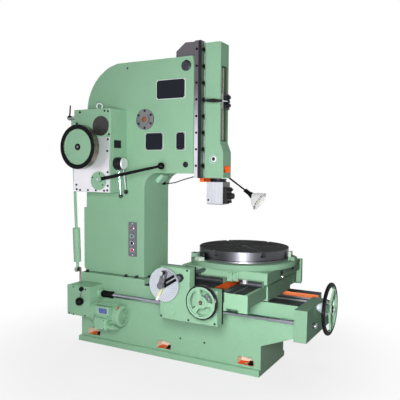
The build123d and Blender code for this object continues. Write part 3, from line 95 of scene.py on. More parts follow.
# Faces across X in millimetres
REAR_COVER_END = -780
GEARBOX_END = -360
STOP_BLOCK_END = 262
KEEPER_END = 270
CLAMP_PLATE_END = 410
SLIDE_END = 835
BRACKET_END = 1119
LONG_WHEEL_END = 1222

# Heights, rows and other places in millimetres
POCKET_FLOOR = 56
COLUMN_FOOT = 541
RING_FLOOR = 739
RING_TOP = 766
EYE_FOOT = 1788
EYE_HEIGHT = 1818
EYE_BOLT = (-535, -266)
EYE_TURN = (-400, -500)
BUTTON_X = -300
POCKETS = (-632, 12, 656)
POCKET_HALF = 59.5
SCREW_FIRST = 1380
SCREW_PITCH = 114.86
GUIDE_ZS = [SCREW_FIRST + SCREW_PITCH * k for k in range(8)]
FAN = (-275, -312, 275)


# Colours are written as 0-255 screen values
def colour(r, g, b):
    parts = []
    for value in (r, g, b):
        c = value / 255
        parts.append(c / 12.92 if c <= 0.04045 else ((c + 0.055) / 1.055) ** 2.4)
    return (*parts, 1)


# Grain scales per axis
MEDIUM = (60, 60, 60)
FINE = (90, 90, 90)
BROAD = (7, 7, 7)
LENGTHWAYS_X = (20, 500, 500)
LENGTHWAYS_Y = (500, 20, 500)
LENGTHWAYS_Z = (500, 500, 25)


# A finish is colour, metal, roughness, colour variation, grain, bump in mm, edge softening in mm and the
# strength of the clear reflection on what is not metal; more adds a coat, turned rings, a thread, or a fade
# upwards to another colour, which paints a reflection
def finish(rgb, metal=0.0, rough=0.4, vary=0.05, grain=FINE, bump=0.03, edge=0.0, spec=0.35, **more):
    look = dict(rgb=rgb, metal=metal, rough=rough, vary=vary, grain=grain, bump=bump, edge=edge, spec=spec)
    return dict(look, **more)


# Turned rings on a face across Y: centre, axis, pitch in mm and shade
def rings_y(axis, pitch, shade):
    return (axis[0], 0, axis[1], "Y", pitch, shade)


# Paints
GREEN = finish((148, 190, 159), bump=0.05, edge=3, spec=0, coat=0.03)
GREEN_PALE = dict(GREEN, rgb=(196, 216, 196))
# Pale green of the block under the column's arch: a painted highlight
GREEN_ARCH_HIGHLIGHT = dict(GREEN, rgb=(164, 205, 180))
GREEN_RIM = dict(GREEN, rgb=(142, 180, 152))
GREEN_APRON = dict(GREEN, rgb=(141, 181, 151))
# Darker copy of the green paint: painted shade for parts that lie in shade
GREEN_DARKER_SHADE = dict(GREEN, rgb=(134, 172, 144))
# Darker green for the base's right faces low down: painted shade
GREEN_END_SHADE = dict(GREEN, rgb=(128, 150, 132))
# Darker green for faces that turn right or up: painted shade of how the light falls on them
GREEN_FACE_SHADE = dict(GREEN, rgb=(114, 144, 122))
GREEN_SHADE = dict(GREEN, rgb=(108, 140, 117))
# Dark green inside the ram's slot: painted shade of the recess
GREEN_SLOT_SHADE = dict(GREEN, rgb=(84, 104, 88))
ORANGE = finish((240, 104, 44), rough=0.45, vary=0.07, bump=0.05, edge=2, spec=0, coat=0.1)
# Lighter orange for the bed's trough: painted light against the shade in it
ORANGE_TROUGH_LIT = dict(ORANGE, rgb=(250, 140, 90))
# Brighter orange for the saddle's valley: painted light against the shade in it
ORANGE_SADDLE_LIT = dict(ORANGE, rgb=(255, 112, 50))
CREAM = finish((226, 222, 200), rough=0.45, vary=0.06, bump=0.04)
GREY = finish((128, 132, 134), rough=0.45, edge=1.5, spec=0.25)
GREY_PANEL = dict(GREY, rgb=(112, 115, 122))
WHITE = finish((232, 232, 233), rough=0.32, vary=0.03, bump=0.01, edge=1, spec=0.2)
BLACK = finish((20, 21, 23), vary=0.15, bump=0.02, edge=1.5, spec=0, coat=0.15)
YELLOW = finish((214, 214, 160), vary=0.06, bump=0.02)
NAVY = finish((24, 27, 36), rough=0.42, vary=0.12, bump=0.004, spec=0.15)
BLUE = finish((84, 108, 160), vary=0.06, bump=0.004, spec=0.2)
RED = finish((196, 52, 36), bump=0.004)

# Bright metals
STEEL = finish((196, 199, 206), metal=0.9, rough=0.3, vary=0.06, grain=(40, 40, 500), bump=0.008, edge=1)
STEEL_STRIP = dict(STEEL, rgb=(212, 210, 204))
STEEL_EDGE = dict(STEEL, rgb=(164, 160, 155))
STEEL_LONG_THREAD = dict(STEEL, thread=("X", 12), bump=2)
STEEL_CROSS_THREAD = dict(STEEL, thread=("Y", 12), bump=2)
STEEL_FLAT = finish((242, 241, 247), metal=0.6, vary=0.04, grain=(700, 60, 700), bump=0.006, edge=1)
STEEL_INDEX = dict(STEEL_FLAT, rgb=(206, 212, 222), turned=rings_y(INDEX_AXIS, 4, 0.06))
STEEL_TOOL = dict(STEEL_FLAT, rgb=(222, 225, 234), vary=0.12, grain=(80, 80, 8))
STEEL_KEEPER = dict(STEEL_FLAT, rgb=(206, 206, 214))
STEEL_RING = dict(STEEL_FLAT, rgb=(190, 208, 198))
STEEL_CROSS_DIAL = dict(STEEL_FLAT, rgb=(238, 240, 246), metal=0.2, rough=0.3)
STEEL_LONG_DIAL = dict(STEEL_FLAT, rgb=(232, 236, 246), metal=0.3, rough=0.3)
GROUND = finish((226, 224, 234), metal=0.6, grain=LENGTHWAYS_Z, bump=0.008, edge=1)
# Ground steel of the ram guide, fading darker towards the top: a painted reflection
GUIDE_REFLECTION_FADE = dict(GROUND, fade=(1500, 1980, (104, 101, 107)))
CHROME = finish((214, 218, 226), metal=1, rough=0.1, vary=0.02, bump=0.002, edge=1)
SHAFT_STEEL = finish((168, 171, 181), metal=1, rough=0.24, vary=0.04, grain=(6, 60, 60), bump=0, edge=1)

# Grey and dark metals
STEEL_GREY = finish((118, 119, 126), metal=0.8, rough=0.34, vary=0.08, bump=0.01, edge=1)
GREY_WIPER = dict(STEEL_GREY, rgb=(150, 154, 162))
GREY_FLANGE = dict(STEEL_GREY, rgb=(146, 146, 150), turned=rings_y(FLANGE_AXIS, 3, 0.3), bump=0.02)
GREY_STEM = dict(STEEL_GREY, rgb=(118, 110, 104), metal=0.4, spec=0.1)
# Grey of the index holes: their painted shade
GREY_HOLE = dict(STEEL_GREY, rgb=(96, 102, 110))
# Grey for the tool head's right face: painted shade
GREY_TOOL_SHADE = dict(STEEL_GREY, rgb=(96, 95, 96))
GREY_CLAMP = dict(STEEL_GREY, rgb=(60, 58, 58))
SLATE = finish(
    (98, 106, 104), metal=0.6, rough=0.36, vary=0.1, grain=LENGTHWAYS_Z, bump=0.008, edge=1, spec=0.25
)
WAYS = finish((62, 66, 68), metal=0.25, rough=0.42, vary=0.14, grain=LENGTHWAYS_X, bump=0.01, edge=1, spec=0)
WAYS_CROSS = dict(WAYS, grain=LENGTHWAYS_Y)
# Lighter bands and lines on the way tops: painted highlights
WAYS_HIGHLIGHT = finish((196, 196, 204), metal=0.6, rough=0.34, vary=0.1, grain=LENGTHWAYS_X, bump=0.01, spec=0.2)
WAYS_DIM_HIGHLIGHT = dict(WAYS_HIGHLIGHT, rgb=(150, 150, 157))
WAYS_HIGHLIGHT_LINE = dict(WAYS_HIGHLIGHT, rgb=(132, 134, 140), grain=LENGTHWAYS_Y)
DARK = finish((40, 42, 46), metal=0.5, vary=0.12, bump=0.015, edge=1, spec=0.25)
DARK_STEM = dict(DARK, metal=1, rough=0.2)
DARK_PIN = dict(DARK, metal=1, rough=0.24, rgb=(70, 72, 78))
IRON = finish((80, 80, 81), rough=0.5, vary=0.2, grain=(160, 160, 160), bump=0.02, edge=1, spec=0)
IRON_TOP = dict(IRON, turned=(*TABLE_AXIS, 0, "Z", 7, 0.3))
IRON_SIDE = finish((80, 80, 85), metal=1, vary=0.06, grain=(12, 12, 400), bump=0.003, edge=1)
IRON_SCALE = dict(IRON_SIDE, rgb=(132, 132, 138))
IRON_GROOVE = dict(IRON_SIDE, rgb=(42, 42, 46))
WHEEL_IRON = finish((156, 142, 136), metal=1, rough=0.3, vary=0.12, bump=0.004, edge=1)
COVER_IRON = finish(
    (88, 85, 84),
    metal=0.7,
    vary=0.25,
    grain=(110, 110, 110),
    turned=rings_y(COVER_AXIS, 6, 0.7),
    bump=0.05,
    edge=1,
)
COPPER = finish((150, 98, 66), metal=0.8, rough=0.35, vary=0.1, bump=0.01)
COPPER_BROWN = finish((96, 70, 56), metal=0.5, vary=0.12, bump=0.01)
COPPER_SLEEVE = dict(COPPER_BROWN, rgb=(84, 72, 66))

# Plastic, rubber and glass
PLASTIC = finish((16, 16, 18), rough=0.3, vary=0.1, bump=0.004, edge=1, spec=0, coat=0.6)
RUBBER = finish((24, 24, 25), rough=0.65, vary=0.15, grain=(200, 200, 200), bump=0.02, spec=0.15)
SHEATH = finish((44, 36, 31), rough=0.6, vary=0.12, grain=(300, 300, 300), bump=0.02, spec=0.2)
BUTTON_GREEN = finish((34, 112, 74), rough=0.22, grain=MEDIUM, bump=0.003, edge=1, coat=0.6)
BUTTON_RED = dict(BUTTON_GREEN, rgb=(190, 38, 32))
LENS_PINK = finish((146, 84, 106), rough=0.12, vary=0.03, grain=MEDIUM, bump=0.002, coat=0.4)
GLASS = finish((246, 240, 222), rough=0.15, vary=0.02, grain=MEDIUM, bump=0, coat=0.3)

# Fixed values of the shaders: noise is used between its low and high share, roughness varies by two factors,
# and the wave texture runs through a number of radians per unit
NOISE_SHARE = (0.3, 0.7)
BROAD_DETAIL = 4
FINE_DETAIL = 2
SMOOTHEST = 0.02
ROUGH_FACTORS = (0.82, 1.2)
EDGE_SAMPLES = 4
COAT_ROUGHNESS = 0.12
BUMP_STRENGTH = 0.6
RING_DISTORTION = 1.5
RING_SHADE = (16, 16, 18)
WAVE_RADIANS = 20


def link(tree, a, b):
    tree.links.new(a, b)


def node(tree, kind, **settings):
    made = tree.nodes.new(kind)
    for key, value in settings.items():
        setattr(made, key, value)
    return made


def feed(tree, socket, value):
    if hasattr(value, "is_linked"):
        link(tree, value, socket)
    else:
        socket.default_value = value


def math_node(tree, operation, a, b=None):
    made = node(tree, "ShaderNodeMath", operation=operation)
    for socket, value in zip(made.inputs, (a, b)):
        if value is not None:
            feed(tree, socket, value)
    return made.outputs[0]


def map_range(tree, value, source, target=(0, 1), **settings):
    made = node(tree, "ShaderNodeMapRange", **settings)
    for key, number in zip(("From Min", "From Max", "To Min", "To Max"), (*source, *target)):
        made.inputs[key].default_value = number
    link(tree, value, made.inputs["Value"])
    return made.outputs[0]


def scaled(values, power=1):
    return [None if value is None else (value * MM) ** power for value in values]


class Surface:
    """One material: a base finish and zones of other finishes, all placed in the shared frame."""

    def __init__(self, name):
        self.material = bpy.data.materials.new(name)
        self.material.use_nodes = True
        self.tree = self.material.node_tree
        self.tree.nodes.clear()
        self.coords = node(self.tree, "ShaderNodeTexCoord")
        self.place = node(self.tree, "ShaderNodeSeparateXYZ")
        link(self.tree, self.coords.outputs["Object"], self.place.inputs[0])
        self.normal = None
        self.out = node(self.tree, "ShaderNodeOutputMaterial")

    def mapped(self, key, value):
        mapping = node(self.tree, "ShaderNodeMapping")
        mapping.inputs[key].default_value = value
        link(self.tree, self.coords.outputs["Object"], mapping.inputs["Vector"])
        return mapping.outputs[0]

    def noise(self, grain, detail):
        made = node(self.tree, "ShaderNodeTexNoise")
        made.inputs["Scale"].default_value = 1
        made.inputs["Detail"].default_value = detail
        link(self.tree, self.mapped("Scale", grain), made.inputs["Vector"])
        return made.outputs["Fac"]

    def wave(self, place, pitch, distortion=0, **settings):
        made = node(self.tree, "ShaderNodeTexWave", **settings)
        made.inputs["Scale"].default_value = 2 * pi / (WAVE_RADIANS * pitch * MM)
        made.inputs["Distortion"].default_value = distortion
        link(self.tree, place, made.inputs["Vector"])
        return made.outputs["Fac"]

    def spread(self, value, low, high):
        return map_range(self.tree, value, NOISE_SHARE, (low, high))

    def blend(self, factor, a, b):
        mix = node(self.tree, "ShaderNodeMix", data_type="RGBA")
        link(self.tree, factor, mix.inputs["Factor"])
        feed(self.tree, mix.inputs["A"], a)
        feed(self.tree, mix.inputs["B"], b)
        return mix.outputs["Result"]

    def rings(self, look):
        if "turned" not in look:
            return None
        x, y, z, axis, pitch, _ = look["turned"]
        centred = self.mapped("Location", (-x * MM, -y * MM, -z * MM))
        return self.wave(centred, pitch, RING_DISTORTION, wave_type="RINGS", rings_direction=axis)

    def tint(self, look, fine, rings):
        tree = self.tree
        base = colour(*look["rgb"])[:3]
        vary = look["vary"]
        darker = [c * (1 - vary) for c in base]
        lighter = [min(1, c * (1 + vary)) for c in base]
        both = math_node(tree, "ADD", self.noise(BROAD, BROAD_DETAIL), fine)
        half = math_node(tree, "MULTIPLY", both, 0.5)
        tint = self.blend(self.spread(half, 0, 1), (*darker, 1), (*lighter, 1))
        if rings:
            share = math_node(tree, "MULTIPLY", rings, look["turned"][-1])
            tint = self.blend(share, tint, colour(*RING_SHADE))
        # A fade upwards to another colour: a painted reflection
        if "fade" in look:
            low, high, other = look["fade"]
            up = self.place.outputs["Z"]
            ramp = map_range(tree, up, scaled((low, high)), interpolation_type="SMOOTHSTEP")
            tint = self.blend(ramp, tint, colour(*other))
        return tint

    def relief(self, look, height):
        soft = None
        if look["edge"]:
            bevel = node(self.tree, "ShaderNodeBevel", samples=EDGE_SAMPLES)
            bevel.inputs["Radius"].default_value = look["edge"] * MM
            soft = bevel.outputs[0]
        if look["bump"]:
            bump = node(self.tree, "ShaderNodeBump")
            bump.inputs["Strength"].default_value = BUMP_STRENGTH
            bump.inputs["Distance"].default_value = look["bump"] * MM
            link(self.tree, height, bump.inputs["Height"])
            if soft:
                link(self.tree, soft, bump.inputs["Normal"])
            soft = bump.outputs[0]
        return soft

    def shader(self, look):
        tree = self.tree
        bsdf = node(tree, "ShaderNodeBsdfPrincipled")
        bsdf.inputs["Metallic"].default_value = look["metal"]
        bsdf.inputs["Specular IOR Level"].default_value = look["spec"]
        bsdf.inputs["Coat Weight"].default_value = look.get("coat", 0)
        bsdf.inputs["Coat Roughness"].default_value = COAT_ROUGHNESS
        fine = self.noise(look["grain"], FINE_DETAIL)
        rings = self.rings(look)
        link(tree, self.tint(look, fine, rings), bsdf.inputs["Base Color"])
        smooth, rough = [look["rough"] * factor for factor in ROUGH_FACTORS]
        link(tree, self.spread(fine, max(SMOOTHEST, smooth), min(1, rough)), bsdf.inputs["Roughness"])
        height = rings or fine
        if "thread" in look:
            axis, pitch = look["thread"]
            height = self.wave(self.coords.outputs["Object"], pitch, bands_direction=axis)
        soft = self.relief(look, height)
        if soft:
            link(tree, soft, bsdf.inputs["Normal"])
        return bsdf.outputs[0]

    def between(self, value, low, high):
        mask = None
        if low is not None:
            mask = math_node(self.tree, "GREATER_THAN", value, low)
        if high is not None:
            under = math_node(self.tree, "LESS_THAN", value, high)
            mask = math_node(self.tree, "MULTIPLY", mask, under) if mask else under
        return mask

    def squared_from(self, axis, centre):
        away = math_node(self.tree, "SUBTRACT", self.place.outputs[axis], centre * MM)
        return math_node(self.tree, "MULTIPLY", away, away)

    # Kinds: x y z, step along an axis, ay for both sides of Y, rx ry rz around an axis, nx ny nz by facing
    def condition(self, kind, *spec):
        tree = self.tree
        axes = {"x": "X", "y": "Y", "z": "Z"}
        if kind in axes:
            return self.between(self.place.outputs[axes[kind]], *scaled(spec))
        if kind == "step":
            axis, first, pitch, low, high = spec
            moved = math_node(tree, "SUBTRACT", self.place.outputs[axes[axis]], first * MM)
            cycle = math_node(tree, "FLOORED_MODULO", moved, pitch * MM)
            return self.between(cycle, *scaled((low, high)))
        if kind == "ay":
            return self.between(math_node(tree, "ABSOLUTE", self.place.outputs["Y"]), *scaled(spec))
        if kind in ("rx", "ry", "rz"):
            a, b, low, high = spec
            first, second = {"rx": "YZ", "ry": "XZ", "rz": "XY"}[kind]
            squares = math_node(tree, "ADD", self.squared_from(first, a), self.squared_from(second, b))
            return self.between(squares, *scaled((low, high), 2))
        if self.normal is None:
            self.normal = node(tree, "ShaderNodeSeparateXYZ")
            link(tree, self.coords.outputs["Normal"], self.normal.inputs[0])
        return self.between(self.normal.outputs[axes[kind[1]]], *spec)

    def finish(self, base, zones):
        shader = self.shader(base)
        for look, *conditions in zones:
            mask = None
            for condition in conditions:
                part = self.condition(*condition)
                mask = math_node(self.tree, "MULTIPLY", mask, part) if mask else part
            mix = node(self.tree, "ShaderNodeMixShader")
            link(self.tree, mask, mix.inputs[0])
            link(self.tree, shader, mix.inputs[1])
            link(self.tree, self.shader(look), mix.inputs[2])
            shader = mix.outputs[0]
        link(self.tree, shader, self.out.inputs["Surface"])
        return self.material


def surface(name, base, *zones):
    return Surface(name).finish(base, zones)


def dress(material, *names):
    for name in names:
        mesh = NODES[name].data
        mesh.materials.clear()
        mesh.materials.append(material)


# Materials that several pieces share
green = surface("green", GREEN)
black = surface("black", BLACK)
navy = surface("navy", NAVY)
dark = surface("dark", DARK)
rubber = surface("rubber", RUBBER)
steel = surface("plate_steel", STEEL_FLAT)
# Ground steel of the guide and its tail, darker towards the top: a painted reflection
guide_reflection_steel = surface("ground", GUIDE_REFLECTION_FADE)
chrome = surface("chrome", CHROME)

# Zones that come more than once
FACING = 0.6
FACES_RIGHT = ("nx", FACING, None)
FACES_UP = ("nz", FACING, None)
FACES_FRONT = ("ny", None, -FACING)
BED_LENGTH = ("x", -159.5, None)
BED_TOPS = ("z", 504.5, None)
CROSS_TOPS = ("z", 602.5, None)
RAM_SLOT = ("z", 1553, 2080)
GRIP_HEIGHT = ("z", 690, None)

# Castings and painted parts
dress(
    green,
    "rear_cover",
    "gearbox_housing",
    "feed_box",
    "feed_box_cover",
    "motor_housing",
    "motor_fan_cover",
    "motor_terminal_box",
    "lamp_bracket",
    "lever_cover",
)
dress(black, "lamp_arm", "shaft_coupling")
dress(surface("column_paint", GREEN, (RUBBER, ("z", None, 544))), "column")
dress(surface("apron_paint", GREEN_APRON, (RUBBER, ("y", -545, None))), "apron_housing")
# Ring under the table in the darker green: painted shade
dress(surface("green_darker_shade", GREEN_DARKER_SHADE), "table_base_ring")
# End bracket in a darker green, its right and top faces darker still: painted shade
dress(
    surface("bracket_paint", GREEN_DARKER_SHADE, (GREEN_FACE_SHADE, FACES_RIGHT), (GREEN_FACE_SHADE, FACES_UP)),
    "end_bracket",
)
# Cross slide with its right faces painted darker: painted shade
dress(surface("slide_paint", GREEN, (GREEN_FACE_SHADE, FACES_RIGHT)), "cross_slide")
pocket_zones = []
for pocket in POCKETS:
    walls = (("x", pocket - POCKET_HALF, pocket + POCKET_HALF), ("ay", 141, 216.6))
    pocket_zones.append((CREAM, *walls, ("z", 55, 113)))
    pocket_zones.append((ORANGE, *walls, ("z", 55, 57)))
dress(
    surface(
        "base_casting",
        GREEN,
        # Right faces of the base low down painted darker: painted shade
        (GREEN_END_SHADE, FACES_RIGHT, ("z", None, 330)),
        # Trough in the lighter orange: painted light against its shade
        (ORANGE_TROUGH_LIT, ("x", -141, 1050), ("y", 13.5, 150.5), ("z", 329, 504.5)),
        (WAYS, BED_LENGTH, ("z", 499, None)),
        # Lighter bands on the bed's way tops: painted highlights
        (WAYS_DIM_HIGHLIGHT, BED_LENGTH, ("y", -26, 13.5), BED_TOPS),
        (WAYS_HIGHLIGHT, BED_LENGTH, ("y", -104, -64), BED_TOPS),
        *pocket_zones,
    ),
    "base_bed",
)
dress(
    surface(
        "saddle_casting",
        GREEN,
        # Right faces of the saddle's far end painted darker: painted shade
        (GREEN_FACE_SHADE, FACES_RIGHT, ("x", 770, None)),
        # Valley in the brighter orange: painted light against its shade
        (ORANGE_SADDLE_LIT, ("x", 519.5, 634.5), ("ay", None, 460.5), ("z", 539, 602.5)),
        (WAYS_CROSS, ("x", None, 775), CROSS_TOPS),
        (WAYS_CROSS, ("x", 634.5, 640), ("z", 541, 602.6)),
        # Lighter lines on the saddle's cross way tops: painted highlights
        (WAYS_HIGHLIGHT_LINE, ("x", 636, 646), CROSS_TOPS),
        (WAYS_HIGHLIGHT_LINE, ("x", 694, 702), CROSS_TOPS),
    ),
    "saddle",
)
dress(surface("gib_paint", GREEN, (WAYS_CROSS, ("y", None, -284))), "cross_slide_gibs")
dress(
    surface(
        "ram_paint",
        GREEN,
        # Slot walls and floor in dark green, and a thin dark band at the strip's edge: painted shade of the
        # recess
        (GREEN_SLOT_SHADE, ("x", 339, 372.8), ("ay", None, 42.4), RAM_SLOT),
        (DARK, ("x", 339, 362.6), ("ay", None, 24), RAM_SLOT),
        (STEEL_STRIP, ("x", 339, 361.6), ("ay", None, 25), RAM_SLOT),
        (ORANGE, ("x", 287, 397.6), ("ay", None, 46.5), ("z", 1293, 1475)),
        (GROUND, ("x", 229, 250.5)),
    ),
    "ram",
)
dress(surface("orange", ORANGE), "ram_stop_block")
dress(surface("button_grey", GREY_PANEL, (CHROME, ("y", None, -172.4))), "button_plate")
dress(surface("clutch_lever_paint", BLACK, (GREEN, ("ry", *CLUTCH_AXIS, None, 24))), "clutch_lever")
dress(surface("selector", BLACK, (STEEL_GREY, ("z", 394, 436))), "feed_selector")
dress(surface("lamp_enamel", WHITE, (BLACK, ("x", None, 524), ("z", 1150, None))), "lamp_shade")
dress(surface("sector_paint", BLACK, (YELLOW, ("z", None, 618)), (WHITE, ("z", None, 560))), "sector_arms")
dress(surface("hand_lever", GREY, (BLACK, ("z", 1738, None))), "feed_hand_lever")
dress(
    surface(
        "feed_rod_paint",
        GREEN,
        (GREY_STEM, ("x", -713, -695), ("z", None, 600)),
        (COPPER_SLEEVE, ("z", 556, 598), ("x", -722, None)),
    ),
    "feed_rod",
)

# Machined parts
dress(steel, "gearbox_front_plates")
dress(guide_reflection_steel, "ram_guide")
dress(dark, "guide_pivot_pin", "relief_pin")
dress(surface("index_steel", STEEL_INDEX), "index_plate")
# Tool head with its right face painted darker: painted shade
dress(surface("tool_steel", STEEL_TOOL, (GREY_TOOL_SHADE, FACES_RIGHT)), "tool_head")
dress(surface("stem_steel", STEEL, (DARK_STEM, ("z", 1265, 1290))), "tool_stem")
dress(surface("clamp_steel", GREY_CLAMP, (DARK, ("x", 417.5, None))), "tool_clamp")
dress(surface("clamp_plate", DARK, (STEEL_EDGE, ("x", None, 388.5), FACES_FRONT)), "ram_clamp_plate")
dress(surface("flange_steel", GREY_FLANGE), "crank_flange")
dress(surface("cover_steel", COVER_IRON), "upper_round_cover")
dress(surface("shaft_steel", SHAFT_STEEL), "feed_shaft")
dress(surface("long_screw", STEEL_LONG_THREAD), "longitudinal_screw")
dress(surface("dial_steel", STEEL_LONG_DIAL), "longitudinal_dial")
dress(surface("drive_steel", DARK, (STEEL_GREY, ("ry", *DRIVE_AXIS, None, 15))), "table_drive_shaft")
dress(
    surface(
        "keeper_steel",
        SLATE,
        (STEEL_KEEPER, ("x", 269.5, None), ("ay", 101, 116), ("step", "z", SCREW_FIRST, SCREW_PITCH, 20, 92)),
        (DARK, ("x", 249, None), ("ay", 156, None)),
    ),
    "guide_keepers",
)
dress(
    surface(
        "crank_steel",
        STEEL_GREY,
        (PLASTIC, ("y", None, -688.6), GRIP_HEIGHT),
        (CHROME, ("y", None, -721), GRIP_HEIGHT),
    ),
    "index_crank",
)
dress(
    surface(
        "table_iron",
        IRON_SIDE,
        (IRON_TOP, ("z", 814.5, None)),
        (IRON, ("rz", *TABLE_AXIS, None, 311), ("z", 776, 814.6)),
        (IRON_SCALE, ("z", None, 752)),
        (IRON_GROOVE, ("z", 752, 757)),
    ),
    "rotary_table",
)
dress(
    surface(
        "cross_screw_steel",
        STEEL_CROSS_THREAD,
        (STEEL_CROSS_DIAL, ("ry", *CROSS_AXIS, 15.5, None)),
        (STEEL, ("y", None, -515)),
    ),
    "cross_screw",
)

# Wheels and levers
dress(
    surface(
        "flywheel_iron",
        WHEEL_IRON,
        (BLACK, ("y", None, -489.5)),
        (GREEN, ("ry", *FLYWHEEL_AXIS, None, 127.4), ("y", -483, -447)),
        (BLACK, ("ry", *FLYWHEEL_AXIS, None, 24.4)),
        (STEEL_GREY, ("ry", *FLYWHEEL_AXIS, None, 10), ("y", None, -485.5)),
    ),
    "flywheel",
)
dress(
    surface("speed_lever", CHROME, (DARK, ("rx", *SPEED_AXIS, None, 47)), (PLASTIC, ("z", None, 1171))),
    "speed_lever_inner",
)
dress(
    surface(
        "speed_lever_front",
        CHROME,
        (DARK, ("rx", *SPEED_AXIS, None, 43), ("x", None, -294.5)),
        (STEEL_FLAT, ("rx", *SPEED_AXIS, None, 43), ("x", -294.5, None)),
        (PLASTIC, ("z", None, 1201)),
    ),
    "speed_lever_outer",
)
dress(
    surface(
        "long_wheel",
        BLACK,
        (GREEN, ("rx", *LONG_AXIS, 26, 138.5)),
        (STEEL_GREY, ("rx", *LONG_AXIS, None, 27.4), ("x", None, 1192)),
    ),
    "longitudinal_handwheel",
)
dress(
    surface(
        "cross_wheel",
        GREEN_APRON,
        (GREEN_RIM, ("ry", *CROSS_AXIS, 80, None)),
        (PLASTIC, ("ry", *CROSS_AXIS, 94, None)),
    ),
    "cross_handwheel",
)
dress(surface("clamp_lever_paint", PLASTIC, (CHROME, ("y", -96, -12))), "clamp_lever")
dress(surface("plastic", PLASTIC), "cross_grip", "cable_glands", "button_black")
dress(surface("button_green", BUTTON_GREEN), "button_green")
dress(surface("button_red", BUTTON_RED), "button_red")
dress(surface("lens", LENS_PINK), "indicator_lens")

# Places: each face direction gives a frame whose Z points out of the surface
OUT = {
    "-y": ((1, 0, 0), (0, 0, 1), (0, -1, 0)),
    "+y": ((-1, 0, 0), (0, 0, 1), (0, 1, 0)),
    "+x": ((0, 1, 0), (0, 0, 1), (1, 0, 0)),
    "-x": ((0, -1, 0), (0, 0, 1), (-1, 0, 0)),
    "+z": ((1, 0, 0), (0, 1, 0), (0, 0, 1)),
}
BOTH = (("-y", -1), ("+y", 1))


def at(direction, x, y, z):
    columns = [Vector(axis) for axis in OUT[direction]]
    turn = Matrix(columns).transposed().to_4x4()
    return Matrix.Translation((x * MM, y * MM, z * MM)) @ turn


def along(start, end):
    a = Vector(start) * MM
    axis = (Vector(end) * MM - a).normalized()
    return Matrix.Translation(a) @ axis.to_track_quat("Z", "Y").to_matrix().to_4x4()


# Turned by an angle in degrees around an axis through a centre in millimetres, then moved out by a reach
def around(centre, axis, angle, reach=0):
    turn = Matrix.Rotation(radians(angle), 4, axis)
    return Matrix.Translation(Vector(centre) * MM) @ turn @ Matrix.Translation((reach * MM, 0, 0))


# Spots on a front face, on both sides of the machine, and pairs on a circle
def front(y, pairs):
    return [("-y", x, y, z) for x, z in pairs]


def both_sides(y, pairs):
    return [(way, x, sense * y, z) for way, sense in BOTH for x, z in pairs]


def on_circle(centre, reach, angles):
    pairs = []
    for angle in angles:
        turn = radians(angle)
        pairs.append((centre[0] + reach * cos(turn), centre[1] + reach * sin(turn)))
    return pairs


# Outlines of 24 points, so that any two can be joined
SIDES = 24


def circle(r, h, sides=SIDES):
    return [(r * cos(2 * pi * k / sides), r * sin(2 * pi * k / sides), h) for k in range(sides)]


def hexagon(r, h):
    points = []
    for k in range(SIDES):
        angle = 2 * pi * k / SIDES
        wedge = (angle % (pi / 3)) - pi / 6
        reach = r * cos(pi / 6) / cos(wedge)
        points.append((reach * cos(angle), reach * sin(angle), h))
    return points


def rounded(w, d, r, h, steps=5):
    points = []
    for cx, cy, start in ((1, 1, 0), (-1, 1, 90), (-1, -1, 180), (1, -1, 270)):
        for k in range(steps + 1):
            angle = radians(start + 90 * k / steps)
            points.append((cx * (w / 2 - r) + r * cos(angle), cy * (d / 2 - r) + r * sin(angle), h))
    return points


def ruled(bm, place, loops, slot=0, cap_slot=None):
    rings = [[bm.verts.new(place @ (Vector(point) * MM)) for point in loop] for loop in loops]
    for low, high in zip(rings, rings[1:]):
        count = len(low)
        for k in range(count):
            face = bm.faces.new((low[k], low[(k + 1) % count], high[(k + 1) % count], high[k]))
            face.material_index = slot
    bm.faces.new(list(reversed(rings[0]))).material_index = slot
    bm.faces.new(rings[-1]).material_index = slot if cap_slot is None else cap_slot


def turned(bm, place, profile, slot=0, sides=SIDES):
    ruled(bm, place, [circle(r, h, sides) for r, h in profile], slot)


def hoop(bm, place, big, small, turns=32, sides=12):
    rings = []
    for i in range(turns):
        a = 2 * pi * i / turns
        ring = []
        for j in range(sides):
            b = 2 * pi * j / sides
            reach = big + small * cos(b)
            point = Vector((reach * cos(a), reach * sin(a), small * sin(b)))
            ring.append(bm.verts.new(place @ (point * MM)))
        rings.append(ring)
    for i in range(turns):
        low, high = rings[i], rings[(i + 1) % turns]
        for j in range(sides):
            k = (j + 1) % sides
            bm.faces.new((low[j], high[j], high[k], low[k]))


def slab(x0, x1, y0, y1, z0, z1):
    corners = ((x0, y0), (x1, y0), (x1, y1), (x0, y1))
    return [[(*corner, z) for corner in corners] for z in (z0, z1)]


# A block with rounded corners and a chamfered top
def block(bm, place, w, d, r, low, high, chamfer=2):
    top = rounded(w - 2 * chamfer, d - 2 * chamfer, r - 1, high)
    ruled(bm, place, [rounded(w, d, r, low), rounded(w, d, r, high - chamfer), top])


def socket_screw(bm, place, r, h):
    rim = [circle(r, -0.5), circle(r, h * 0.82), circle(r * 0.9, h)]
    ruled(bm, place, [*rim, hexagon(r * 0.56, h), hexagon(r * 0.56, h * 0.45)])


def hex_bolt(bm, place, r, h, washer=0, thick=0):
    loops = []
    low = -0.5
    if washer:
        loops = [circle(washer, low), circle(washer, thick * 0.7), circle(washer * 0.96, thick)]
        low = thick
    ruled(bm, place, [*loops, hexagon(r, low), hexagon(r, thick + h * 0.84), circle(r * 0.8, thick + h)])


def pan_screw(bm, place, r, h):
    turned(bm, place, [(r, -0.5), (r, h * 0.4), (r * 0.86, h * 0.8), (r * 0.5, h), (r * 0.12, h)])


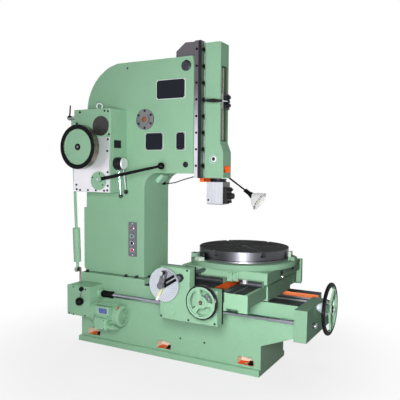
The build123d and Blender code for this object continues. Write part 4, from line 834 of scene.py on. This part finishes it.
def name_plate(bm, place, w, d, r, thick, border):
    inner = max(r - border, 1)
    loops = [
        rounded(w, d, r, -0.3),
        rounded(w, d, r, thick * 0.7),
        rounded(w - thick * 0.6, d - thick * 0.6, max(r - thick * 0.3, 1), thick),
        rounded(w - 2 * border, d - 2 * border, inner, thick),
        rounded(w - 2 * border - 0.6, d - 2 * border - 0.6, inner, thick - 0.6),
    ]
    ruled(bm, place, loops, 0, 1)


SHARP_ANGLE = 32


def piece(name, bm, materials, body):
    mesh = bpy.data.meshes.new(name)
    bmesh.ops.recalc_face_normals(bm, faces=bm.faces)
    bm.to_mesh(mesh)
    bm.free()
    for material in materials:
        mesh.materials.append(material)
    mesh.polygons.foreach_set("use_smooth", [True] * len(mesh.polygons))
    mesh.set_sharp_from_angle(angle=radians(SHARP_ANGLE))
    made = bpy.data.objects.new(name, mesh)
    bpy.context.collection.objects.link(made)
    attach(made, body)


# One piece made of the same shape at every spot
def group(name, spots, maker, sizes, materials, body):
    bm = bmesh.new()
    for spot in spots:
        maker(bm, at(*spot), *sizes)
    piece(name, bm, materials, body)


# Dark fasteners, the most common kind of group
def fasteners(name, spots, maker, sizes, body="frame", material=dark):
    group(name, spots, maker, sizes, [material], body)


# A bare plate on a front face with a screw in each corner
def screwed_plate(name, box, face, plate, inset, lift, screw, inner):
    x0, x1, z0, z1 = box
    bm = bmesh.new()
    name_plate(bm, at("-y", (x0 + x1) / 2, face, (z0 + z1) / 2), x1 - x0, z1 - z0, *plate)
    for x in (x0 + inset[0], x1 - inset[0]):
        for z in (z0 + inset[1], z1 - inset[1]):
            pan_screw(bm, at("-y", x, face - lift, z), *screw)
    piece(name, bm, [steel, inner], "frame")


# Scale marks around a centre, every fifth one long
def ticks(name, centre, axis, count, long, short, body, slot):
    bm = bmesh.new()
    for k in range(count):
        mark = long if k % 5 == 0 else short
        ruled(bm, around(centre, axis, 360 * k / count), slab(*mark))
    piece(name, bm, [rubber], body)


# Fasteners of the base and column
FOOT_BOLTS = ((-722, 191), (-345, 191), (-250, 191), (-179, 120))
foot_spots = [("+z", x, sense * y, COLUMN_FOOT) for sense in (-1, 1) for x, y in FOOT_BOLTS]
fasteners("column_foot_bolts", foot_spots, hex_bolt, (13, 12, 19, 3))
level_spots = [("+z", x + 30, sense * 190, POCKET_FLOOR) for x in POCKETS for sense in (-1, 1)]
fasteners("levelling_screws", level_spots, hex_bolt, (13, 16, 20, 6), material=black)
plug_spots = both_sides(BASE_SIDE, ((151, 154), (345, 154))) + front(-COLUMN_SIDE, ((-351, 2100),))
fasteners("base_plugs", plug_spots, socket_screw, (7, 2))
fasteners("tilt_lock_bolts", both_sides(COLUMN_SIDE, ((154, 1388),)), hex_bolt, (16, 11, 21, 3))
rear_spots = [("-x", REAR_COVER_END, y, z) for y in (-146, 146) for z in (580, 804, 1028)]
fasteners("rear_cover_screws", rear_spots, pan_screw, (8, 5))
bracket_spots = [("+x", BRACKET_END, y, z) for y, z in ((190, 350), (180, 430))]
fasteners("end_bracket_screws", bracket_spots, socket_screw, (10, 6))
panel_spots = front(BUTTON_PANEL_FRONT, [(BUTTON_X, z) for z in (943, 706)])
group("button_plate_screws", panel_spots, pan_screw, (4.5, 2.5), [steel], "frame")
bm = bmesh.new()
for z, big, small in ((912, 16.4, 2.2), (850, 14.6, 3.4), (797, 14.6, 3.4), (745, 14.6, 3.4)):
    hoop(bm, at("-y", BUTTON_X, BEZEL_FRONT, z), big, small, turns=40)
piece("button_bezels", bm, [chrome], "frame")
lamp_spots = [("+y", x, LAMP_BRACKET_SIDE, z) for x, z in ((174, 1404), (204, 1360))]
fasteners("lamp_bracket_screws", lamp_spots, pan_screw, (5, 1.2))

# Bare plates on the head
for plate_name, box, corner, rim in (
    ("head_plate_main", (-94, 148, 1854, 1993), 14, 3),
    ("head_plate_square", (-189, -35, 1491, 1618), 4, 2),
    ("head_plate_narrow", (74, 149, 1490, 1618), 4, 2),
):
    screwed_plate(plate_name, box, -COLUMN_SIDE, (corner, 2.5, rim), (9, 9), 2, (3, 2), navy)

# Crank flange
flange_spots = front(FLANGE_FRONT, on_circle(FLANGE_AXIS, 62, range(30, 390, 60)))
fasteners("crank_flange_screws", flange_spots, socket_screw, (9, 4))
BUSH = [(21, -1), (21, 3), (19, 4), (9, 4), (8, 1)]
copper = surface("copper", COPPER)
group("crank_bush", front(BUSH_FRONT, [FLANGE_AXIS]), turned, (BUSH,), [copper], "frame")

# Turned faces of the guide's pivot pin
PIVOT_FACE = [(38, -0.5), (38, 0.5), (26, 6.5), (24, 7), (5, 7), (4, 4)]
pin_steel = surface("pin_steel", DARK_PIN)
pivot_spots = both_sides(PIVOT_SIDE, [PIVOT_AXIS])
fasteners("pivot_faces", pivot_spots, turned, (PIVOT_FACE, 0, 40), material=pin_steel)

# Rear of the guide, seen above the head
TAIL = ((34.5, 2040), (195, 2040), (195, 2252), (109, 2254), (34.5, 2196))
bm = bmesh.new()
ruled(bm, Matrix(), [[(x, y, z) for x, z in TAIL] for y in (-104.5, 104.5)])
piece("guide_tail", bm, [guide_reflection_steel], "guide")

# Gearbox fittings
HOUSING_SCREWS = ((-670, 1687), (-640, 1769), (-410, 1770), (-379, 1766), (-370, 1601))
RIGHT_SCREWS = (
    (-371, 1565),
    (-376, 1481),
    (-373, 1329),
    (-373, 1231),
    (-377, 1198),
    (-406, 1195),
    (-482, 1196),
)
LEFT_SCREWS = ((-560, 1195), (-636, 1194), (-668, 1199), (-671, 1232), (-690, 1565))
gearbox_spots = front(GEARBOX_FRONT, HOUSING_SCREWS)
gearbox_spots += front(RIGHT_PLATE_FRONT, RIGHT_SCREWS)
gearbox_spots += front(LEFT_PLATE_FRONT, LEFT_SCREWS)
fasteners("gearbox_screws", gearbox_spots, socket_screw, (8, 4))
GEARBOX_PLATE = (-641, -541, 1220, 1330)
screwed_plate("gearbox_plate", GEARBOX_PLATE, LEFT_PLATE_FRONT, (4, 1.6, 3), (8, 9), 1, (3.5, 2.4), steel)
side_plate = [("+x", GEARBOX_END, -276, 1534)]
group("gearbox_side_plate", side_plate, name_plate, (84, 57, 4, 2, 1.5), [dark, navy], "frame")
bm = bmesh.new()
turned(bm, at("+z", *EYE_BOLT, EYE_FOOT), [(13, -1), (13, 3), (10, 5), (6, 7), (5, 9)])
hoop(bm, along((*EYE_BOLT, EYE_HEIGHT), (*EYE_TURN, EYE_HEIGHT)), 21, 4.6)
piece("lifting_eye", bm, [surface("white", WHITE)], "frame")
cover_spots = front(COVER_FRONT, on_circle(COVER_AXIS, 60, (45, 135, 325, 215)))
fasteners("upper_cover_screws", cover_spots, socket_screw, (4.5, 2))
lever_spots = front(LEVER_COVER_FRONT, ((-441, 1317), (-412, 1237), (-506, 1290)))
fasteners("lever_cover_screws", lever_spots, pan_screw, (6, 3))
CLUTCH_PIN = [(9, -1), (9, 4), (7, 6), (2, 6.5)]
pin_spots = front(CLUTCH_FRONT, [CLUTCH_AXIS])
group("clutch_pin", pin_spots, turned, (CLUTCH_PIN,), [chrome], "clutch_lever")
feed_spots = front(FEED_BOX_FRONT, ((-700, 457), (-582, 450), (-742, 250), (-702, 246), (-588, 252)))
fasteners("feed_box_screws", feed_spots, socket_screw, (6, 3.5))

# Motor fittings
blue = surface("blue", BLUE)
motor_spots = front(MOTOR_FRONT, ((-393, 321),))
group("motor_plate", motor_spots, name_plate, (82, 42, 3, 1.5, 1), [steel, blue], "frame")
terminal_spots = front(TERMINAL_FRONT, [(x, z) for x in (-466, -376) for z in (194, 255)])
fasteners("terminal_screws", terminal_spots, pan_screw, (4.5, 2.5))
GRILLE_REACH = 58
SPOKE_X = FAN[0] + 1
bm = bmesh.new()
for reach in (14, 24, 34, 44, 54):
    hoop(bm, at("+x", *FAN), reach, 2.6, turns=40, sides=8)
turned(bm, at("+x", *FAN), [(GRILLE_REACH, -0.5), (GRILLE_REACH, 0.4), (57, 0.6), (2, 0.6)], 1, 48)
for tip in on_circle(FAN[1:], GRILLE_REACH, range(0, 360, 60)):
    turned(bm, along((SPOKE_X, *FAN[1:]), (SPOKE_X, *tip)), [(2.4, 0), (2.4, GRILLE_REACH)], 0, 8)
piece("fan_grille", bm, [green, surface("green_shade", GREEN_SHADE)], "frame")
ARROW = ((-20, -5), (4, -5), (4, -11), (20, 0), (4, 11), (4, 5), (-20, 5))
bm = bmesh.new()
ruled(bm, around((-297, *FAN[1:]), "X", 32), [[(y, x, z) for x, y in ARROW] for z in (78.5, 80.6)])
piece("turning_arrow", bm, [surface("red", RED)], "frame")

# Screws of the ram guide
side_spots = both_sides(COLUMN_SIDE, [(238, z) for z in GUIDE_ZS])
fasteners("guide_side_screws", side_spots, socket_screw, (8.5, 3), "guide", material=black)
keeper_spots = [("+x", KEEPER_END, sense * 132, z) for sense in (-1, 1) for z in GUIDE_ZS]
fasteners("keeper_screws", keeper_spots, socket_screw, (13, 9), "guide", material=black)

# Ram and tool fittings
RELIEF_RING = [(36, -0.5), (36, 2), (35, 3), (31, 3), (30.5, -0.4)]
RELIEF_FACE = [(21, -0.5), (21, 2.2), (19, 3), (13, 3), (12.5, 1)]
bm = bmesh.new()
for spot in both_sides(RAM_SIDE, [RELIEF_AXIS]):
    turned(bm, at(*spot), RELIEF_RING, 0, 48)
    turned(bm, at(*spot), RELIEF_FACE, 1, 48)
piece("relief_rings", bm, [surface("ring_steel", STEEL_RING), steel], "ram")
fasteners("relief_caps", both_sides(RELIEF_SIDE, [RELIEF_AXIS]), hex_bolt, (11, 4), "ram")
fasteners("clamp_nuts", [("+x", CLAMP_PLATE_END, 0, z) for z in (1862, 1806)], hex_bolt, (13, 9), "ram")
stop_spots = [("+x", STOP_BLOCK_END, y, 1280) for y in (-80, 80)]
fasteners("stop_block_screws", stop_spots, socket_screw, (6, 3), "ram")
cap_spots = [("+x", 440, 0, 1213), ("+x", 430, 0, 1127)]
fasteners("tool_clamp_caps", cap_spots, hex_bolt, (8, 7), "tool")
CLAMP_BOSS = [(21, -1), (20, 3), (13, 4), (12, 1.5), (2, 1.5)]
fasteners("tool_clamp_boss", [("+x", 450, 0, 1168)], turned, (CLAMP_BOSS,), "tool")
fasteners("tool_head_screws", both_sides(TOOL_SIDE, ((281, 1137),)), socket_screw, (7, 3), "tool")

# Saddle and apron fittings
apron_spots = front(APRON_FRONT, ((430, 733), (242, 427), (442, 427), (624, 428)))
fasteners("apron_screws", apron_spots, socket_screw, (7, 4), "saddle")
apron_cover_spots = front(APRON_COVER_FRONT, on_circle(APRON_COVER_AXIS, 36, (90, 210, 330)))
group("apron_cover_screws", apron_cover_spots, pan_screw, (4, 2.5), [green], "saddle")
APRON = ((236, 414), (634, 414), (634, 626), (442, 626), (442, 741), (236, 741))
bm = bmesh.new()
ruled(bm, Matrix(), [[(x, y, z) for x, z in APRON] for y in (-526, -518)])
piece("apron_gasket", bm, [rubber], "saddle")
# Grey discs for the index holes, which are not cut: painted shade of the holes
hole_spots = []
for reach, count in ((62, 24), (73, 30), (84, 36), (95, 42)):
    angles = [360 * k / count for k in range(count)]
    hole_spots += front(INDEX_FRONT, on_circle(INDEX_AXIS, reach, angles))
hole_grey = surface("hole_grey", GREY_HOLE)
fasteners("index_holes", hole_spots, turned, ([(2, -0.3), (2, 0.15)], 0, 10), "saddle", material=hole_grey)

# Ring, table and cross slide fittings
lug_spots = [("+z", x, y, RING_TOP) for x, y in on_circle(TABLE_AXIS, 350, (5, 108, 210))]
fasteners("ring_clamp_bolts", lug_spots, socket_screw, (11, 4), "cross_slide")
slide_spots = [("+x", SLIDE_END, y, 666) for y in (-43, 180)]
fasteners("slide_bolts", slide_spots, hex_bolt, (12, 9, 17, 3), "cross_slide")
OILER = [(9, -1), (9, 4), (7, 6), (5, 12), (2, 13)]
group("slide_oiler", [("+x", SLIDE_END, -38, 640)], turned, (OILER,), [chrome], "cross_slide")
TABLE_CENTRE = (*TABLE_AXIS, 0)
TABLE_MARK = (321.8, 322.15, -0.4, 0.4, 741.2)
ticks("table_ticks", TABLE_CENTRE, "Z", 180, (*TABLE_MARK, 749.2), (*TABLE_MARK, 746.2), "table", "dark_iron")

# Clamp blocks beside the table
bm = bmesh.new()
for angle, r0, r1, width, low, high in ((238, 342, 384, 66, RING_FLOOR, 763), (5, 327, 346, 50, 765, 799)):
    block(bm, around(TABLE_CENTRE, "Z", angle, (r0 + r1) / 2), r1 - r0, width, 3, low, high)
piece("ring_clamps", bm, [surface("green_pale", GREEN_PALE)], "cross_slide")
# Dark plate by the left clamp block: a part of the clamp whose dark colour is a painted shade of the clamp
# body
bm = bmesh.new()
block(bm, around(TABLE_CENTRE, "Z", 236, 335), 16, 52, 3, RING_FLOOR, 788)
piece("ring_clamp_plate", bm, [dark], "cross_slide")

# Stop bracket, stop block and wipers on the front of the cross slide
bm = bmesh.new()
for x0, x1, y0, z0, z1 in ((562, 600, -322, 630, 686), (603, 636, -312, 632, 690)):
    spot = at("-y", (x0 + x1) / 2, STOP_FRONT, (z0 + z1) / 2)
    block(bm, spot, x1 - x0, z1 - z0, 3, -1, STOP_FRONT - y0)
piece("stop_bracket", bm, [green], "cross_slide")
bm = bmesh.new()
block(bm, at("-y", 680, SLIDE_FRONT, 634), 22, 28, 4, -1, 27, 3)
piece("slide_block", bm, [steel], "cross_slide")
bm = bmesh.new()
for x0, x1 in ((258, 514), (642, 788)):
    ruled(bm, at("-y", (x0 + x1) / 2, SLIDE_FRONT, 621), [rounded(x1 - x0, 9, 2, h) for h in (-1, 7)])
piece("way_wipers", bm, [surface("wiper_steel", GREY_WIPER)], "cross_slide")

# Pale green sloped block under the arch of the column: a painted highlight of the arch's lit fillet
bm = bmesh.new()
box_place = along((-152, 5, 1284), (-82, 5, 1214))
ruled(bm, box_place, [rounded(84, 78, 8, -16), rounded(84, 78, 8, 12), rounded(76, 70, 6, 17)])
piece("cable_box", bm, [surface("green_arch_highlight", GREEN_ARCH_HIGHLIGHT)], "frame")

# Dials and wheel nuts
LONG_CENTRE = (0, *LONG_AXIS)
LONG_MARK = (-0.4, 0.4, 47.8, 48.15)
LONG_BODY = "longitudinal_wheel"
long_marks = [(1168, end, *LONG_MARK) for end in (1178, 1174)]
ticks("long_dial_ticks", LONG_CENTRE, "X", 60, *long_marks, LONG_BODY, "dark_steel")
LONG_NUT = [(12, -7), (12, 2), (9, 6), (3, 7)]
long_spots = [("+x", LONG_WHEEL_END, *LONG_AXIS)]
group("long_wheel_nut", long_spots, turned, (LONG_NUT,), [chrome], LONG_BODY)
CROSS_CENTRE = (CROSS_AXIS[0], 0, CROSS_AXIS[1])
cross_marks = [(-0.35, 0.35, -614, end, 35.8, 36.15) for end in (-624, -620)]
ticks("cross_dial_ticks", CROSS_CENTRE, "Y", 60, *cross_marks, "cross_wheel", "dark_steel")
nut_brown = surface("nut_brown", COPPER_BROWN, (STEEL_GREY, ("ry", *CROSS_AXIS, None, 7)))
nut_spots = front(CROSS_WHEEL_FRONT, [CROSS_AXIS])
fasteners("cross_wheel_nut", nut_spots, hex_bolt, (9, 5, 13, 2), "cross_wheel", material=nut_brown)

# Lamp bulb on the line of the lamp's arm
LAMP_ROOT = (195, 183, 1383)
LAMP_TIP = (468, 183, 1199)
BULB = [(10, 66), (12, 74), (17, 82), (24, 94), (27, 106), (24, 117), (15, 124), (4, 127)]
lamp_end = [2 * tip - root for tip, root in zip(LAMP_TIP, LAMP_ROOT)]
bm = bmesh.new()
turned(bm, along(LAMP_TIP, lamp_end), BULB)
piece("lamp_bulb", bm, [surface("glass", GLASS)], "lamp_shade")

# Lamp cable
CABLE = (
    (-178, 80, 1243),
    (-100, 80, 1243),
    (-10, 82, 1276),
    (88, 89, 1300),
    (150, 96, 1340),
    (150, 96, 1400),
)
CABLE_RADIUS = 0.004
curve = bpy.data.curves.new("lamp_cord", "CURVE")
curve.dimensions = "3D"
curve.bevel_depth = CABLE_RADIUS
curve.bevel_resolution = 4
curve.resolution_u = 24
spline = curve.splines.new("NURBS")
spline.points.add(len(CABLE) - 1)
for point, place in zip(spline.points, CABLE):
    point.co = (*[value * MM for value in place], 1)
spline.order_u = 3
spline.use_endpoint_u = True
curve.materials.append(surface("sheath", SHEATH))
cord = bpy.data.objects.new("lamp_cord", curve)
bpy.context.collection.objects.link(cord)
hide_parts("lamp_cable")
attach(cord, "frame")


# One for rays that look at the backdrop, straight or by reflection, and zero for rays that gather light
def looked_at(tree):
    rays = node(tree, "ShaderNodeLightPath")
    seen = math_node(tree, "MAXIMUM", rays.outputs["Is Camera Ray"], rays.outputs["Is Glossy Ray"])
    return math_node(tree, "MAXIMUM", seen, rays.outputs["Is Transmission Ray"])


def mixed(tree, factor, first, second, output):
    mix = node(tree, "ShaderNodeMixShader")
    for socket, source in zip(mix.inputs, (factor, first, second)):
        link(tree, source, socket)
    link(tree, mix.outputs[0], node(tree, output).inputs["Surface"])


# Floor that turns into the white backdrop away from the object
FLOOR_HALF = 30
FLOOR_HEIGHT = -0.0005
FLOOR_GREY = 0.55
FADE_REACH = (0.9, 2.0)
FADE_SHARE = (0.78, 1)
PURE_WHITE = (1, 1, 1, 1)
floor_mesh = bpy.data.meshes.new("floor")
corners = [(x * FLOOR_HALF, y * FLOOR_HALF, FLOOR_HEIGHT) for x, y in ((-1, -1), (1, -1), (1, 1), (-1, 1))]
floor_mesh.from_pydata(corners, [], [(0, 1, 2, 3)])
floor = bpy.data.objects.new("floor", floor_mesh)
bpy.context.collection.objects.link(floor)
floor_look = bpy.data.materials.new("floor")
floor_look.use_nodes = True
tree = floor_look.node_tree
tree.nodes.clear()
pale = node(tree, "ShaderNodeBsdfDiffuse")
pale.inputs["Color"].default_value = (FLOOR_GREY, FLOOR_GREY, FLOOR_GREY, 1)
white = node(tree, "ShaderNodeEmission")
white.inputs["Color"].default_value = PURE_WHITE
white.inputs["Strength"].default_value = 1
distance = node(tree, "ShaderNodeVectorMath", operation="LENGTH")
link(tree, node(tree, "ShaderNodeTexCoord").outputs["Object"], distance.inputs[0])
fade = map_range(tree, distance.outputs["Value"], FADE_REACH, FADE_SHARE, interpolation_type="SMOOTHSTEP")
share = math_node(tree, "MULTIPLY", looked_at(tree), fade)
mixed(tree, share, pale.outputs[0], white.outputs[0], "ShaderNodeOutputMaterial")
floor_mesh.materials.append(floor_look)

# World: white to look at up to well above the horizon, dimmer as light and towards the zenith
SKY_BAND = (0.4, 0.85)
SKY_LIGHT = (0.06, 0.03)
SKY_LOOK = (1.0, 0.3)
world = bpy.data.worlds.new("studio")
bpy.context.scene.world = world
world.use_nodes = True
tree = world.node_tree
tree.nodes.clear()
height = node(tree, "ShaderNodeSeparateXYZ")
link(tree, node(tree, "ShaderNodeTexCoord").outputs["Generated"], height.inputs[0])


def sky(strengths):
    made = node(tree, "ShaderNodeBackground")
    made.inputs["Color"].default_value = PURE_WHITE
    ramp = map_range(tree, height.outputs["Z"], SKY_BAND, strengths, interpolation_type="SMOOTHSTEP")
    link(tree, ramp, made.inputs["Strength"])
    return made.outputs[0]


mixed(tree, looked_at(tree), sky(SKY_LIGHT), sky(SKY_LOOK), "ShaderNodeOutputWorld")


# A lamp gives either light or a gleam on metal, so that flat bright faces keep their colour
def soft_box(name, where, target, size, power, gleam=False):
    lamp = bpy.data.lights.new(name, "AREA")
    lamp.shape = "RECTANGLE"
    lamp.size, lamp.size_y = size
    lamp.energy = power
    made = bpy.data.objects.new(name, lamp)
    bpy.context.collection.objects.link(made)
    made.location = where
    made.rotation_euler = (Vector(target) - Vector(where)).to_track_quat("-Z", "Y").to_euler()
    made.visible_diffuse = not gleam
    made.visible_glossy = gleam
    return made


# Place, aim and size in metres, power in watts
soft_box("key", (1.75, -3.2, 1.4), (0.3, 0, 0.9), (0.5, 1.0), 122)
strip = soft_box("strip", (1.95, -3.55, 0.42), (0.52, 0.03, 0.78), (0.9, 0.5), 210, gleam=True)
soft_box("back", (-2.5, 5.0, 2.2), (0, 0, 1.1), (2.4, 1.8), 190)
soft_box("left", (-4.6, 1.2, 1.8), (-0.4, 0, 1.0), (1.8, 1.8), 130)
soft_box("top", (0.1, 0.2, 5.2), (0.1, 0, 1.0), (2.6, 2.6), 38)

# Flat bright faces stay out of the strip's gleam
CALM = ("gearbox_front_plates", "index_plate", "tool_head", "crank_flange", "ram_guide", "gearbox_plate")
calm = bpy.data.collections.new("calm")
for name in CALM:
    calm.objects.link(bpy.data.objects[name])
for member in calm.collection_objects:
    member.light_linking.link_state = "EXCLUDE"
strip.light_linking.receiver_collection = calm

# Camera
yaw, pitch, roll = radians(YAW), radians(PITCH), radians(ROLL)
forward = Vector((-sin(yaw) * cos(pitch), cos(yaw) * cos(pitch), -sin(pitch)))
right = Vector((cos(yaw), sin(yaw), 0))
up = right.cross(forward)
across = cos(roll) * right + sin(roll) * up
above = -sin(roll) * right + cos(roll) * up
lens = bpy.data.cameras.new("camera")
lens.lens = LENS
lens.sensor_width = SENSOR
lens.clip_end = FAR_CLIP
camera = bpy.data.objects.new("camera", lens)
bpy.context.collection.objects.link(camera)
camera.matrix_world = Matrix.Translation(EYE) @ Matrix((across, above, -forward)).transposed().to_4x4()
bpy.context.scene.camera = camera
bpy.context.scene.view_settings.view_transform = "Standard"
